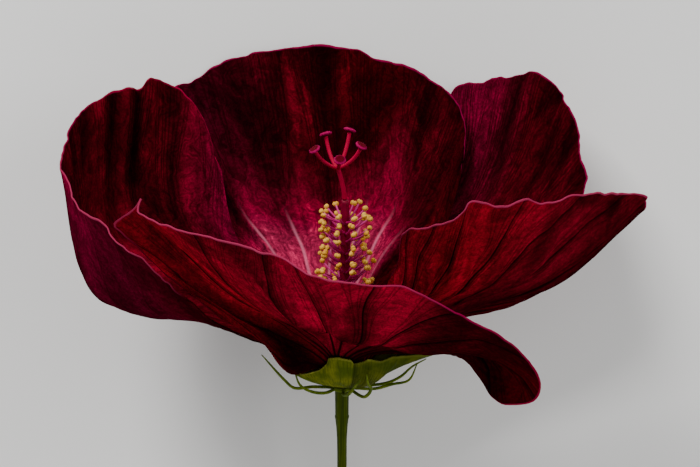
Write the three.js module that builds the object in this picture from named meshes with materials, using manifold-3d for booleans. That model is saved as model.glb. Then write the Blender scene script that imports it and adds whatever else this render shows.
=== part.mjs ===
// A hardy hibiscus bloom, cut with its stem and laid down on a flat surface.
// Millimetres, +Z up. Each piece is modelled in the flower's own frame: z runs up the flower's axis
// from the stem to the open face, x to the right and y to the back petals, with z = 0 where the
// petals leave the calyx. The flower then lies on its stem's end and on two petal margins, with its
// front petal on top, and the origin is below the middle of its box.
import * as THREE from "three";
import { mergeVertices } from "three/addons/utils/BufferGeometryUtils.js";
import Module from "manifold-3d";

const wasm = await Module();
wasm.setup();

// Driving dimensions.
const STEM_LENGTH = 125;
const STEM_RADIUS = 1.7;
const UPPER_STEM_RADIUS = 2.4;
const KNOB_RADIUS = 2.59;
const STEM_JOINT_Z = -24;
const STEM_X = -1.1;
const PETAL_THICKNESS = 0.7;
const CALYX_WALL = 0.9;
const CALYX_BOTTOM_Z = -11.8;
const COLUMN_TOP_Z = 55;
const FILAMENT_RADIUS = 0.36;
const ANTHER_RADIUS = 1.05;
const STYLE_RADIUS = 0.75;
const BRANCH_RADIUS = 0.64;
const STIGMA_RADIUS = 2;
const STIGMA_FLATNESS = 0.42;
const BRACTLET_RADIUS = 0.66;
const SEAT_GAP = 0.3;
const LYING_ANGLE = 24;

// The mesh's fineness.
const PETAL_COLUMNS = 20;
const PETAL_ROWS = [0, 0.12, 0.25, 0.37, 0.48, 0.58, 0.67, 0.75, 0.83, 0.91, 1];

const degrees = THREE.MathUtils.degToRad;
const vector = (x, y, z) => new THREE.Vector3(x, y, z);
const around = (radius, azimuth, z) =>
  vector(radius * Math.cos(degrees(azimuth)), radius * Math.sin(degrees(azimuth)), z);
const curveThrough = (points) => new THREE.CatmullRomCurve3(points.map((p) => vector(...p)));

const finish = (color, roughness) =>
  new THREE.MeshStandardMaterial({ color, roughness, metalness: 0, side: THREE.FrontSide });
const petalFinish = finish(0x7a0820, 0.6);
const greenFinish = finish(0x6d7a2e, 0.65);
const stamenFinish = finish(0xc9406a, 0.6);
const styleFinish = finish(0xa51a34, 0.6);

// A small seeded generator, so that the flower grows the same way each time.
function seededRandom(seed) {
  let state = seed;
  return () => {
    state = (state * 1664525 + 1013904223) % 4294967296;
    return state / 4294967296;
  };
}

const between = (random, low, high) => low + (high - low) * random();

function solidOf(geometry) {
  const bare = geometry.clone();
  bare.deleteAttribute("normal");
  bare.deleteAttribute("uv");
  const merged = mergeVertices(bare, 1e-4);
  return new wasm.Manifold(
    new wasm.Mesh({
      numProp: 3,
      vertProperties: new Float32Array(merged.attributes.position.array),
      triVerts: new Uint32Array(merged.index.array),
    }),
  );
}

function geometryOf(solid) {
  const mesh = solid.getMesh();
  const geometry = new THREE.BufferGeometry();
  geometry.setAttribute("position", new THREE.BufferAttribute(mesh.vertProperties, 3));
  geometry.setIndex(new THREE.BufferAttribute(mesh.triVerts, 1));
  geometry.computeVertexNormals();
  return geometry;
}

const fused = (geometries) =>
  geometryOf(geometries.map(solidOf).reduce((whole, piece) => whole.add(piece)));

function geometryFrom(points, triangles) {
  const geometry = new THREE.BufferGeometry();
  geometry.setAttribute(
    "position",
    new THREE.Float32BufferAttribute(points.flatMap((p) => [p.x, p.y, p.z]), 3),
  );
  geometry.setIndex(triangles.flat());
  geometry.computeVertexNormals();
  return geometry;
}

// A turned shape about the z axis, from its profile of radii and heights.
const turned = (profile, sides) =>
  new THREE.LatheGeometry(profile.map(([r, z]) => new THREE.Vector2(r, z)), sides).rotateX(Math.PI / 2);

// A closed tube along a curve, with its radius given along the way and both ends capped.
function sweptTube(curve, steps, sides, radiusAt) {
  const frames = curve.computeFrenetFrames(steps);
  const points = [];
  const triangles = [];
  for (let i = 0; i <= steps; i += 1) {
    const centre = curve.getPointAt(i / steps);
    for (let j = 0; j < sides; j += 1) {
      const angle = (j / sides) * 2 * Math.PI;
      const radius = radiusAt(i / steps);
      points.push(
        centre
          .clone()
          .addScaledVector(frames.normals[i], radius * Math.cos(angle))
          .addScaledVector(frames.binormals[i], radius * Math.sin(angle)),
      );
    }
  }
  for (let i = 0; i < steps; i += 1) {
    for (let j = 0; j < sides; j += 1) {
      const a = i * sides + j;
      const b = i * sides + ((j + 1) % sides);
      triangles.push([a, b, a + sides], [b, b + sides, a + sides]);
    }
  }
  const last = steps * sides;
  for (let j = 1; j < sides - 1; j += 1) {
    triangles.push([0, j + 1, j], [last, last + j, last + j + 1]);
  }
  return geometryFrom(points, triangles);
}

// Petals. Every petal is a fan of veins. A vein starts at the claw inside the calyx, passes the
// throat, where the petals leave the calyx, the flare and the belly, and ends on the margin.
// The petals overlap like a twisted fan: each one's first side lies inside its neighbour and its
// last side outside the next one.
const CLAW = { radius: 4.9, z: -9.8, halfAngle: 24, twist: 0 };
const THROAT = { radius: 12.2, z: 2.4, halfAngle: 35, twist: 0.9 };

const PETALS = [
  {
    name: "petal_1",
    azimuth: 258,
    throatLift: [-5, 0, 0],
    flareLift: [-7, 3.5, 1.5],
    ruffle: { height: 0.5, waves: 5, phase: 0.4 },
    belly: [[-28, -29, 16], [-40, -44, 39], [-6, -64, 34], [24, -62, 26], [44, -65, 27], [34.5, -52, 20.5]],
    margin: [
      [-40, -36, 26.5], [-50.5, -40, 38], [-58, -40, 45], [-66, -39, 51.5], [-75, -33, 57.5],
      [-72.5, -31, 59.5], [-68.5, -32, 63], [-66, -34, 67.5], [-67, -39, 65.5], [-65, -43, 64.5],
      [-59, -50, 64.5], [-44, -62, 66], [-33, -70, 66], [-19.5, -80, 64.5], [-5.5, -86, 60],
      [7.5, -88, 59], [24, -88, 54], [35.5, -86, 49], [48.5, -86, 41.5], [54.5, -85, 35.5],
      [60, -82.5, 24], [58, -80, 17], [50, -76, 14.5], [44, -66, 16.5], [40, -56, 19],
    ],
  },
  {
    name: "petal_2",
    azimuth: 330,
    throatLift: [0, 0, 0],
    flareLift: [-4, 3, 1.5],
    ruffle: { height: 0.5, waves: 5, phase: 1.1 },
    belly: [[13, -26, 28], [34, -38, 40], [60, -28, 38], [69.5, -10, 28.5], [55, 5, 14]],
    margin: [
      [14, -30, 36], [17.5, -36, 48], [19.5, -43, 60], [29.5, -50, 63.5], [36.5, -54, 68.5],
      [39.5, -55, 73.5], [49.5, -52, 71], [58.5, -48, 71], [62.5, -45, 69], [73.5, -37, 70],
      [88, -28, 67], [99.5, -16, 61.5], [95, -4, 49.5], [83, 4, 33], [70, 6, 22],
    ],
  },
  {
    name: "petal_3",
    azimuth: 42,
    throatLift: [0, 0, 0],
    flareLift: [4, 4, 4],
    ruffle: { height: 0.5, waves: 5, phase: 2.0 },
    belly: [[48, 12, 21], [59, 28, 31], [54, 46, 34], [38, 60, 35], [17, 54, 25]],
    margin: [
      [70, 14, 36], [82.5, 22, 51], [81.5, 34, 61.5], [80, 46, 71], [72.5, 60, 78.5],
      [67.5, 66, 80], [57.5, 77, 74.5], [50.5, 83, 71], [41.5, 85, 69], [34, 82, 58], [20, 75, 44],
    ],
  },
  {
    name: "petal_4",
    azimuth: 114,
    throatLift: [0, 0, 0],
    flareLift: [4, 4, 4],
    ruffle: { height: 0.5, waves: 6, phase: 0.2 },
    belly: [[32, 31, 27], [18, 51, 35], [-9, 56, 37], [-34, 53, 35], [-47, 38, 27]],
    margin: [
      [41, 53, 45], [43, 67, 60], [38, 76, 69], [31.5, 80, 73], [21, 83, 77.5], [12, 84, 79.5],
      [2.5, 84, 84], [-10, 84, 84.5], [-20, 84, 83.5], [-28.5, 85, 83], [-37, 86, 80.5],
      [-48.5, 88.5, 75], [-56.5, 84, 70.5], [-61.5, 80.5, 70.5], [-65, 72, 63], [-66, 60, 53],
    ],
  },
  {
    name: "petal_5",
    azimuth: 186,
    throatLift: [0, 0, 0],
    flareLift: [5, 6, -2],
    ruffle: { height: 0.5, waves: 6, phase: 2.6 },
    belly: [[-37, 26, 31], [-62, 34, 36], [-83, 12, 32], [-82, -10, 24], [-41, -27, 21]],
    margin: [
      [-44, 45, 50], [-50, 55, 65.5], [-55, 58, 72], [-60.5, 61, 76.5], [-69, 52, 81.5],
      [-71.5, 50, 79], [-77.5, 43, 80.5], [-83, 36, 80.5], [-90.5, 23, 78.5], [-94, 12, 72.5], [-95.5, 3, 67],
      [-92.5, -6, 63], [-87.5, -16, 59], [-79.5, -27, 55.5], [-75, -33, 53], [-69, -38, 50.5],
      [-59.5, -42, 44], [-51, -42, 34.5],
    ],
  },
];

const ringPoint = (ring, azimuth, across) =>
  around(ring.radius + across * ring.twist, azimuth + across * ring.halfAngle, ring.z);

// A height given at the petal's first side, its middle and its last side, at a place across it.
const heightAcross = ([first, middle, last], across) =>
  THREE.MathUtils.lerp(middle, across < 0 ? first : last, across ** 2);

// The vein at a place across the petal, from -1 at its first side to 1 at its last. Its flare lies
// above the straight way from throat to belly by the petal's lift.
function veinOf(petal, belly, margin, across) {
  const along = (across + 1) / 2;
  const throat = ringPoint(THROAT, petal.azimuth, across);
  throat.z += heightAcross(petal.throatLift, across);
  const outer = belly.getPointAt(along);
  const flare = throat.clone().lerp(outer, 0.5);
  flare.z += heightAcross(petal.flareLift, across);
  const claw = ringPoint(CLAW, petal.azimuth, across);
  return new THREE.CatmullRomCurve3([claw, throat, flare, outer, margin.getPointAt(along)]);
}

// The normals of a grid of points, from the directions along its rows and its columns.
function gridNormals(grid) {
  const rows = grid.length - 1;
  const columns = grid[0].length - 1;
  return grid.map((row, i) =>
    row.map((_, j) => {
      const up = grid[Math.min(i + 1, rows)][j].clone().sub(grid[Math.max(i - 1, 0)][j]);
      const side = grid[i][Math.min(j + 1, columns)].clone().sub(grid[i][Math.max(j - 1, 0)]);
      return up.cross(side).normalize();
    }),
  );
}

function petalGrid(petal) {
  const belly = curveThrough(petal.belly);
  const margin = curveThrough(petal.margin);
  const veins = Array.from({ length: PETAL_COLUMNS + 1 }, (_, j) =>
    veinOf(petal, belly, margin, (2 * j) / PETAL_COLUMNS - 1),
  );
  const grid = PETAL_ROWS.map((u) => veins.map((vein) => vein.getPoint(u)));
  const normals = gridNormals(grid);
  const { height, waves, phase } = petal.ruffle;
  return grid.map((row, i) =>
    row.map((point, j) => {
      const wave = Math.sin((2 * Math.PI * waves * j) / PETAL_COLUMNS + phase);
      return point.addScaledVector(normals[i][j], height * PETAL_ROWS[i] ** 4 * wave);
    }),
  );
}

// A blade of even thickness round a grid of points, split into triangles alike on both faces.
function bladeGeometry(grid, thickness) {
  const normals = gridNormals(grid);
  const rows = grid.length;
  const columns = grid[0].length;
  const faces = [0.5, -0.5].map((side) =>
    grid.flatMap((row, i) =>
      row.map((point, j) => point.clone().addScaledVector(normals[i][j], side * thickness)),
    ),
  );
  const lower = rows * columns;
  const triangles = [];
  for (let i = 0; i < rows - 1; i += 1) {
    for (let j = 0; j < columns - 1; j += 1) {
      const a = i * columns + j;
      const [b, c, d] = [a + 1, a + columns, a + columns + 1];
      triangles.push([a, c, b], [b, c, d]);
      triangles.push([lower + a, lower + b, lower + c], [lower + b, lower + d, lower + c]);
    }
  }
  const rim = [];
  for (let j = 0; j < columns - 1; j += 1) rim.push(j);
  for (let i = 0; i < rows - 1; i += 1) rim.push(i * columns + columns - 1);
  for (let j = columns - 1; j > 0; j -= 1) rim.push((rows - 1) * columns + j);
  for (let i = rows - 1; i > 0; i -= 1) rim.push(i * columns);
  rim.forEach((a, k) => {
    const b = rim[(k + 1) % rim.length];
    triangles.push([a, b, lower + a], [b, lower + b, lower + a]);
  });
  return geometryFrom(faces.flat(), triangles);
}

// The stem, with the swollen joint below the flower and a knob that fills the collar.
const STEM_SIDES = 12;
const STEM_TOP_Z = CALYX_BOTTOM_Z - SEAT_GAP;

const stemGeometry = () =>
  turned(
    [
      [0, -STEM_LENGTH],
      [STEM_RADIUS, -STEM_LENGTH],
      [STEM_RADIUS * 0.96, -STEM_LENGTH * 0.55],
      [STEM_RADIUS, STEM_JOINT_Z - 8],
      [UPPER_STEM_RADIUS * 0.94, STEM_JOINT_Z - 1.5],
      [UPPER_STEM_RADIUS * 1.04, STEM_JOINT_Z],
      [UPPER_STEM_RADIUS, STEM_JOINT_Z + 1.5],
      [UPPER_STEM_RADIUS, STEM_TOP_Z - 3],
      [KNOB_RADIUS, STEM_TOP_Z],
      [0, STEM_TOP_Z],
    ],
    STEM_SIDES,
  ).translate(STEM_X, 0, 0);

// The calyx: a wide shallow cup that opens into five lobes. At each azimuth its wall leaves the floor,
// bends at a shoulder and ends on the rim, and between the azimuths given here it changes evenly.
// The shoulder and the rim are a radius and a height.
const CALYX_FLOOR = [3, CALYX_BOTTOM_Z];
const CALYX_FOOT = [9.5, CALYX_BOTTOM_Z + 1.2];
const CALYX_PLACES = [
  { azimuth: 5, shoulder: [13.5, -8.5], rim: [17, -0.5] },
  { azimuth: 50, shoulder: [14, -8], rim: [21, 2] },
  { azimuth: 86, shoulder: [13, -8], rim: [15.5, -2] },
  { azimuth: 122, shoulder: [14, -8], rim: [20, 2] },
  { azimuth: 158, shoulder: [13, -8.5], rim: [15.5, -4] },
  { azimuth: 185, shoulder: [13, -9.3], rim: [16, -5.4] },
  { azimuth: 204, shoulder: [13, -9.3], rim: [16.9, -5.8] },
  { azimuth: 216, shoulder: [13, -8.6], rim: [15.2, -4.4] },
  { azimuth: 233, shoulder: [13, -7.5], rim: [14.2, -1.9] },
  { azimuth: 244, shoulder: [13, -7], rim: [14.2, 0.9] },
  { azimuth: 250, shoulder: [13, -6.5], rim: [16.2, 3.9] },
  { azimuth: 262, shoulder: [13, -6.5], rim: [17.2, 4.8] },
  { azimuth: 277, shoulder: [13, -6.5], rim: [16.8, 3.7] },
  { azimuth: 282, shoulder: [12.4, -7], rim: [14.6, 1.4] },
  { azimuth: 294, shoulder: [13.4, -7.4], rim: [15.3, 2] },
  { azimuth: 303, shoulder: [14.5, -8.4], rim: [16, 2.8] },
  { azimuth: 315, shoulder: [14.6, -8.8], rim: [17.4, 1.6] },
  { azimuth: 325, shoulder: [16.5, -9], rim: [19.8, 2.8] },
  { azimuth: 331, shoulder: [15.5, -7.2], rim: [23.5, 3] },
  { azimuth: 337, shoulder: [12.8, -5.6], rim: [33.8, 4.4] },
  { azimuth: 343, shoulder: [13, -5.6], rim: [28.5, 3.4] },
  { azimuth: 352, shoulder: [14.5, -8], rim: [22.5, 1.2] },
];
const CALYX_RINGS = [0.15, 0.3, 0.45, 0.6, 0.72, 0.84, 0.93, 1];
const SIDES_BETWEEN_PLACES = 2;

// The wall's azimuths and curves, from one place to the next.
function calyxWall() {
  return CALYX_PLACES.flatMap((place, k) => {
    const next = CALYX_PLACES[(k + 1) % CALYX_PLACES.length];
    const turn = (next.azimuth - place.azimuth + 360) % 360;
    return Array.from({ length: SIDES_BETWEEN_PLACES }, (_, step) => {
      const share = step / SIDES_BETWEEN_PLACES;
      const blend = (a, b) => vector(a[0], 0, a[1]).lerp(vector(b[0], 0, b[1]), share);
      const curve = new THREE.CubicBezierCurve3(
        vector(CALYX_FLOOR[0], 0, CALYX_FLOOR[1]),
        vector(CALYX_FOOT[0], 0, CALYX_FOOT[1]),
        blend(place.shoulder, next.shoulder),
        blend(place.rim, next.rim),
      );
      return { azimuth: place.azimuth + turn * share, curve };
    });
  });
}

// A place at a share of a wall curve, set in from the outer face by the inset.
function wallPlace({ azimuth, curve }, share, inset) {
  const place = curve.getPoint(share);
  const tangent = curve.getTangent(share);
  return around(place.x - inset * tangent.z, azimuth, place.z + inset * tangent.x);
}

// A closed shell round an axis: rings from one pole to the other, the poles being single points.
function ringedShell(first, rings, last) {
  const sides = rings[0].length;
  const points = [first, ...rings.flat(), last];
  const end = points.length - 1;
  const triangles = [];
  for (let j = 0; j < sides; j += 1) {
    const next = (j + 1) % sides;
    triangles.push([0, 1 + next, 1 + j]);
    for (let k = 0; k < rings.length - 1; k += 1) {
      const a = 1 + k * sides + j;
      const b = 1 + k * sides + next;
      triangles.push([a, b, a + sides], [b, b + sides, a + sides]);
    }
    triangles.push([end, end - sides + j, end - sides + next]);
  }
  return geometryFrom(points, triangles);
}

function calyxGeometry() {
  const sides = calyxWall();
  const wall = (inset) => CALYX_RINGS.map((share) => sides.map((side) => wallPlace(side, share, inset)));
  return ringedShell(
    vector(0, 0, CALYX_BOTTOM_Z),
    [...wall(0), ...wall(CALYX_WALL).reverse()],
    vector(0, 0, CALYX_BOTTOM_Z + CALYX_WALL),
  );
}

// The epicalyx: narrow bractlets that grow from a collar round the stem. The front ones curl as given
// here, and the back ones bend up in planes through the stem's axis.
const COLLAR = { inner: KNOB_RADIUS + SEAT_GAP, outer: 3.9, height: 1.5, sides: 18 };
const BRACTLET_ROOT_Z = STEM_TOP_Z - COLLAR.height / 2;
const BRACTLET_ROOT_RADIUS = 3.4;
const FRONT_BRACTLETS = [
  { azimuth: 190, way: [[-11.3, -5, -10.8], [-17.3, -8, -9.9], [-20.5, -9, -6.6], [-28, -14, 4.8]] },
  { azimuth: 222, way: [[-6.5, -5, -13], [-11, -7.5, -11.6], [-15.2, -10, -8], [-17.1, -10.5, -2.6]] },
  { azimuth: 282, way: [[-0.5, -7, -12.9], [1.2, -10.8, -11], [3.4, -13.6, -6.9], [5.2, -15.6, -3.6]] },
  { azimuth: 322, way: [[6.6, -9, -12.8], [8.9, -12, -8.6], [7.8, -15, -5.4], [7.3, -17.2, -1]] },
  { azimuth: 342, way: [[10.2, -4, -11.9], [15.9, -7, -9], [21.7, -8.9, -6.6], [24.4, -9.4, -0.6]] },
  { azimuth: 5, way: [[13.7, -1.5, -11], [18.8, -3.4, -7.8], [23, -5, -3.2], [27.6, -6, 0]] },
];
const BACK_BRACTLETS = [
  { azimuth: 30, reach: 25, rise: 11 },
  { azimuth: 62, reach: 27, rise: 13 },
  { azimuth: 95, reach: 24, rise: 10 },
  { azimuth: 128, reach: 27, rise: 12 },
  { azimuth: 160, reach: 25, rise: 9 },
];

function collarGeometry() {
  const bottom = STEM_TOP_Z - COLLAR.height;
  return turned(
    [
      [COLLAR.inner, bottom],
      [COLLAR.outer - 0.5, bottom],
      [COLLAR.outer, bottom + 0.5],
      [COLLAR.outer, STEM_TOP_Z],
      [COLLAR.inner, STEM_TOP_Z],
      [COLLAR.inner, bottom],
    ],
    COLLAR.sides,
  ).translate(STEM_X, 0, 0);
}

const bractletRoot = (azimuth) =>
  around(BRACTLET_ROOT_RADIUS, azimuth, BRACTLET_ROOT_Z).add(vector(STEM_X, 0, 0));

const bractletTube = (curve) =>
  sweptTube(curve, 9, 4, (way) => BRACTLET_RADIUS * (1 - way ** 3 / 2));

function frontBractlet({ azimuth, way }) {
  const points = [bractletRoot(azimuth), ...way.map((p) => vector(...p))];
  return bractletTube(new THREE.CatmullRomCurve3(points));
}

function backBractlet({ azimuth, reach, rise }) {
  const curve = new THREE.CubicBezierCurve3(
    bractletRoot(azimuth),
    around(reach * 0.55, azimuth, BRACTLET_ROOT_Z - 0.6),
    around(reach * 0.95, azimuth, BRACTLET_ROOT_Z + rise * 0.35),
    around(reach, azimuth, BRACTLET_ROOT_Z + rise),
  );
  return bractletTube(curve);
}

const epicalyxGeometry = () =>
  fused([collarGeometry(), ...FRONT_BRACTLETS.map(frontBractlet), ...BACK_BRACTLETS.map(backBractlet)]);

// The staminal column: five double rows of filaments, each with its anther.
const COLUMN_FOOT_Z = -10.2;
const STAMEN_LEVELS = 11;
const STAMEN_ROWS = [270, 342, 54, 126, 198];
const STAMEN_LOWEST_Z = 12;
const STAMEN_HIGHEST_Z = 46;

const columnGeometry = () =>
  turned(
    [
      [0, COLUMN_FOOT_Z],
      [3.4, COLUMN_FOOT_Z],
      [2.6, 0],
      [2.1, 12],
      [1.5, 50],
      [1.15, COLUMN_TOP_Z],
      [0, COLUMN_TOP_Z],
    ],
    10,
  );

// One filament with its anther, which is the swollen end of the same turned shape.
const stamenGeometry = (azimuth, z, length, tilt) =>
  turned(
    [
      [0, 0],
      [FILAMENT_RADIUS, 0],
      [FILAMENT_RADIUS, length - ANTHER_RADIUS],
      [ANTHER_RADIUS, length],
      [0, length + ANTHER_RADIUS],
    ],
    4,
  )
    .rotateY(degrees(90 - tilt))
    .translate(0.6, 0, z)
    .rotateZ(degrees(azimuth));

function staminalColumnGeometry() {
  const random = seededRandom(5);
  const pieces = [columnGeometry()];
  for (let level = 0; level < STAMEN_LEVELS; level += 1) {
    const share = level / (STAMEN_LEVELS - 1);
    const root = THREE.MathUtils.lerp(STAMEN_LOWEST_Z, STAMEN_HIGHEST_Z, share);
    for (const row of STAMEN_ROWS) {
      for (const side of [-1, 1]) {
        const azimuth = row + side * between(random, 12, 21);
        const length = between(random, 9.4, 11) - 1.4 * share;
        const z = root + between(random, 0, 1.6);
        pieces.push(stamenGeometry(azimuth, z, length, between(random, 26, 42)));
      }
    }
  }
  return fused(pieces);
}

// The style: it leaves the top of the column and parts into five branches with round stigmas.
const STYLE_FORK = vector(-2.6, 0, 67);
const STIGMAS = [
  [-1.6, -8, 71.5],
  [5.4, -2.5, 74.6],
  [1.6, 6.5, 77.2],
  [-6.4, 6.5, 75.8],
  [-10, -2.5, 73.3],
];

function stigmaBranch(place) {
  const tip = vector(...place);
  const outward = tip.clone().sub(STYLE_FORK).setZ(0);
  const spine = new THREE.QuadraticBezierCurve3(
    STYLE_FORK.clone().add(vector(0, 0, -0.8)),
    STYLE_FORK.clone().addScaledVector(outward, 0.7).add(vector(0, 0, 1.5)),
    tip,
  );
  const disc = new THREE.SphereGeometry(STIGMA_RADIUS, 8, 4)
    .scale(1, STIGMA_FLATNESS, 1)
    .rotateX(Math.PI / 2)
    .rotateY(degrees(30))
    .rotateZ(Math.atan2(outward.y, outward.x))
    .translate(tip.x, tip.y, tip.z + 0.4);
  return [sweptTube(spine, 4, 5, () => BRANCH_RADIUS), disc];
}

function styleGeometry() {
  const spine = new THREE.QuadraticBezierCurve3(
    vector(0, 0, COLUMN_TOP_Z + SEAT_GAP),
    vector(-0.6, 0, COLUMN_TOP_Z + 6),
    STYLE_FORK,
  );
  return fused([sweptTube(spine, 5, 8, () => STYLE_RADIUS), ...STIGMAS.flatMap(stigmaBranch)]);
}

// What lies below the surface is cut off, which leaves the small flat spots that the flower rests on.
function cutByFloor(geometry, flower) {
  const floor = new THREE.BoxGeometry(600, 600, 60).translate(0, 0, -30);
  floor.applyMatrix4(flower.matrix.clone().invert());
  return geometryOf(solidOf(geometry).subtract(solidOf(floor)));
}

function piece(name, geometry, material) {
  const mesh = new THREE.Mesh(geometry, material);
  mesh.name = name;
  return mesh;
}

// The flower's axis rises from the surface at the lying angle, from the stem's end to the face.
const flower = new THREE.Group();
flower.rotation.x = -degrees(90 - LYING_ANGLE);
flower.position.z =
  STEM_LENGTH * Math.sin(degrees(LYING_ANGLE)) +
  STEM_RADIUS * Math.cos(degrees(LYING_ANGLE)) -
  SEAT_GAP;
flower.updateMatrix();

flower.add(
  piece("stem", cutByFloor(stemGeometry(), flower), greenFinish),
  piece("epicalyx", epicalyxGeometry(), greenFinish),
  piece("calyx", calyxGeometry(), greenFinish),
  piece("staminal_column", staminalColumnGeometry(), stamenFinish),
  piece("style", styleGeometry(), styleFinish),
);
for (const petal of PETALS) {
  const blade = bladeGeometry(petalGrid(petal), PETAL_THICKNESS);
  flower.add(piece(petal.name, cutByFloor(blade, flower), petalFinish));
}

const hibiscus = new THREE.Group();
hibiscus.add(flower);
const middle = new THREE.Box3().setFromObject(hibiscus).getCenter(vector(0, 0, 0));
flower.position.x -= middle.x;
flower.position.y -= middle.y;

export default hibiscus;
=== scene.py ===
"""A hardy hibiscus bloom that lies on a pale floor, seen from above.

Lengths are in millimetres and in the flower's own frame until a mesh is made: z runs up the flower's
axis from the stem to the open face, x to the right and y to the back petals. place_in_row() then
lays the flower down in the row's frame, in metres.
"""
import math

import bpy
import numpy as np
from mathutils import Matrix, Vector


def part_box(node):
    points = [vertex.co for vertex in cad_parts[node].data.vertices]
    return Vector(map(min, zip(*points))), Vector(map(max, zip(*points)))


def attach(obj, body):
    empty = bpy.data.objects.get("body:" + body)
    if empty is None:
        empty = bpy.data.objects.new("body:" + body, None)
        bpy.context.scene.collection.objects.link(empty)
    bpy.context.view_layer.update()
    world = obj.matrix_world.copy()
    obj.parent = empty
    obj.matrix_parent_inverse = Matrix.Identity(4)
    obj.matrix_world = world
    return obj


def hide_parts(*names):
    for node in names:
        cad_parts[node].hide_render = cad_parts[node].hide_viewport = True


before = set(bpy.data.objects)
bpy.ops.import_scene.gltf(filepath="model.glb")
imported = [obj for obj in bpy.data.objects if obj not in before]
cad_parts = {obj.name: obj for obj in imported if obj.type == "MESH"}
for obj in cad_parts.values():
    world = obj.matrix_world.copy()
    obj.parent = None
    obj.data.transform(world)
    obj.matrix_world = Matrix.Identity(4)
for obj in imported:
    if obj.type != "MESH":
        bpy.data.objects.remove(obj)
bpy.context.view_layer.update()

# The flower's driving dimensions, as in the part.
STEM_LENGTH = 125
STEM_RADIUS = 1.7
UPPER_STEM_RADIUS = 2.4
KNOB_RADIUS = 2.59
STEM_JOINT_Z = -24
STEM_X = -1.1
CALYX_WALL = 0.9
CALYX_BOTTOM_Z = -11.8
COLUMN_FOOT_Z = -10.2
COLUMN_TOP_Z = 55
SEAT_GAP = 0.3
LYING_ANGLE = 24

# The view: the camera's angle above the flower's open face, its distance, and the photo's scale.
VIEW_ANGLE = 20
VIEW_DISTANCE = 900
MM_PER_PIXEL = 0.342
PICTURE_SIZE = (700, 467)
CALYX_MOUTH_PIXEL = (345, 352)
SENSOR_WIDTH = 36


def smooth(value):
    """A smooth step from 0 to 1."""
    share = np.clip(value, 0, 1)
    return share * share * (3 - 2 * share)


def lying_matrix():
    """From the flower's frame in metres to the row's frame, by the stem's place there."""
    low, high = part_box("stem")
    angle = math.radians(LYING_ANGLE)
    forward = STEM_LENGTH * math.cos(angle) + STEM_RADIUS * math.sin(angle)
    height = STEM_LENGTH * math.sin(angle) + STEM_RADIUS * math.cos(angle) - SEAT_GAP
    axis_x = (low.x + high.x) / 2 - STEM_X / 1000
    place = Vector((axis_x, low.y + forward / 1000, height / 1000))
    return Matrix.Translation(place) @ Matrix.Rotation(angle - math.pi / 2, 4, "X")


FLOWER = lying_matrix()


def place_in_row(points):
    """Points in the row's frame, in metres."""
    return np.asarray(points, float) @ np.array(FLOWER.to_3x3()).T / 1000 + np.array(FLOWER.translation)


def lift_off_floor(points, clearance):
    """Points in millimetres, with those that are too low lifted to the clearance above the surface."""
    upward = np.array(FLOWER.to_3x3())[2]
    height = place_in_row(points)[..., 2] * 1000
    return points + upward * np.maximum(clearance - height, 0)[..., None]


def around(radius, azimuth, z):
    """A point, or an array of points, on a circle round the flower's axis."""
    angle = np.radians(azimuth)
    return np.stack(np.broadcast_arrays(radius * np.cos(angle), radius * np.sin(angle), z), -1)


def lattice_noise(x, y, seed):
    """Smooth noise from -1 to 1 over a plane, one bump to each unit square."""
    values = np.random.default_rng(seed).uniform(-1, 1, (64, 64))
    column, row = np.floor(x).astype(int), np.floor(y).astype(int)
    across, along = smooth(x - column), smooth(y - row)
    corner = [[values[(row + i) % 64, (column + j) % 64] for j in (0, 1)] for i in (0, 1)]
    low, high = (side[0] + (side[1] - side[0]) * across for side in corner)
    return low + (high - low) * along


def spline(points, way):
    """A centripetal Catmull-Rom spline through the points, at ways from 0 to 1."""
    points = np.asarray(points, float)
    before, after = 2 * points[0] - points[1], 2 * points[-1] - points[-2]
    row = np.concatenate([before[None], points, after[None]])
    place = np.asarray(way, float) * (len(points) - 1)
    segment = np.minimum(place.astype(int), len(points) - 2)
    share = (place - segment).reshape(-1, *[1] * (points.ndim - 1))
    p0, p1, p2, p3 = (row[segment + k] for k in range(4))
    d0, d1, d2 = (
        np.sum((b - a) ** 2, axis=-1, keepdims=True) ** 0.25
        for a, b in ((p0, p1), (p1, p2), (p2, p3))
    )
    leave = d1 * ((p1 - p0) / d0 - (p2 - p0) / (d0 + d1)) + p2 - p1
    arrive = d1 * ((p3 - p2) / d2 - (p3 - p1) / (d1 + d2)) + p2 - p1
    square, cube = 3 * (p2 - p1) - 2 * leave - arrive, 2 * (p1 - p2) + leave + arrive
    return p1 + share * leave + share**2 * square + share**3 * cube


def spline_by_length(points, way):
    """As spline(), with the ways measured along its length."""
    even = np.linspace(0, 1, 201)
    steps = np.linalg.norm(np.diff(spline(points, even), axis=0), axis=1)
    length = np.concatenate([[0], np.cumsum(steps)])
    return spline(points, np.interp(np.asarray(way) * length[-1], length, even))


def bezier(controls, way):
    """A Bezier curve of any degree, at ways from 0 to 1."""
    points = [np.asarray(p, float) for p in controls]
    share = np.asarray(way, float)[..., None]
    while len(points) > 1:
        points = [a + (b - a) * share for a, b in zip(points, points[1:])]
    return points[0]


def grid_quads(rows, columns, closed=False):
    """The faces of a grid of points that are counted row by row."""
    i, j = np.meshgrid(np.arange(rows - 1), np.arange(columns - (not closed)), indexing="ij")
    here, beside = i * columns + j, i * columns + (j + 1) % columns
    return np.stack([here, here + columns, beside + columns, beside], -1).reshape(-1, 4)


def add_object(name, data):
    """A new object in the scene."""
    thing = bpy.data.objects.new(name, data)
    bpy.context.scene.collection.objects.link(thing)
    return thing


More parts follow.
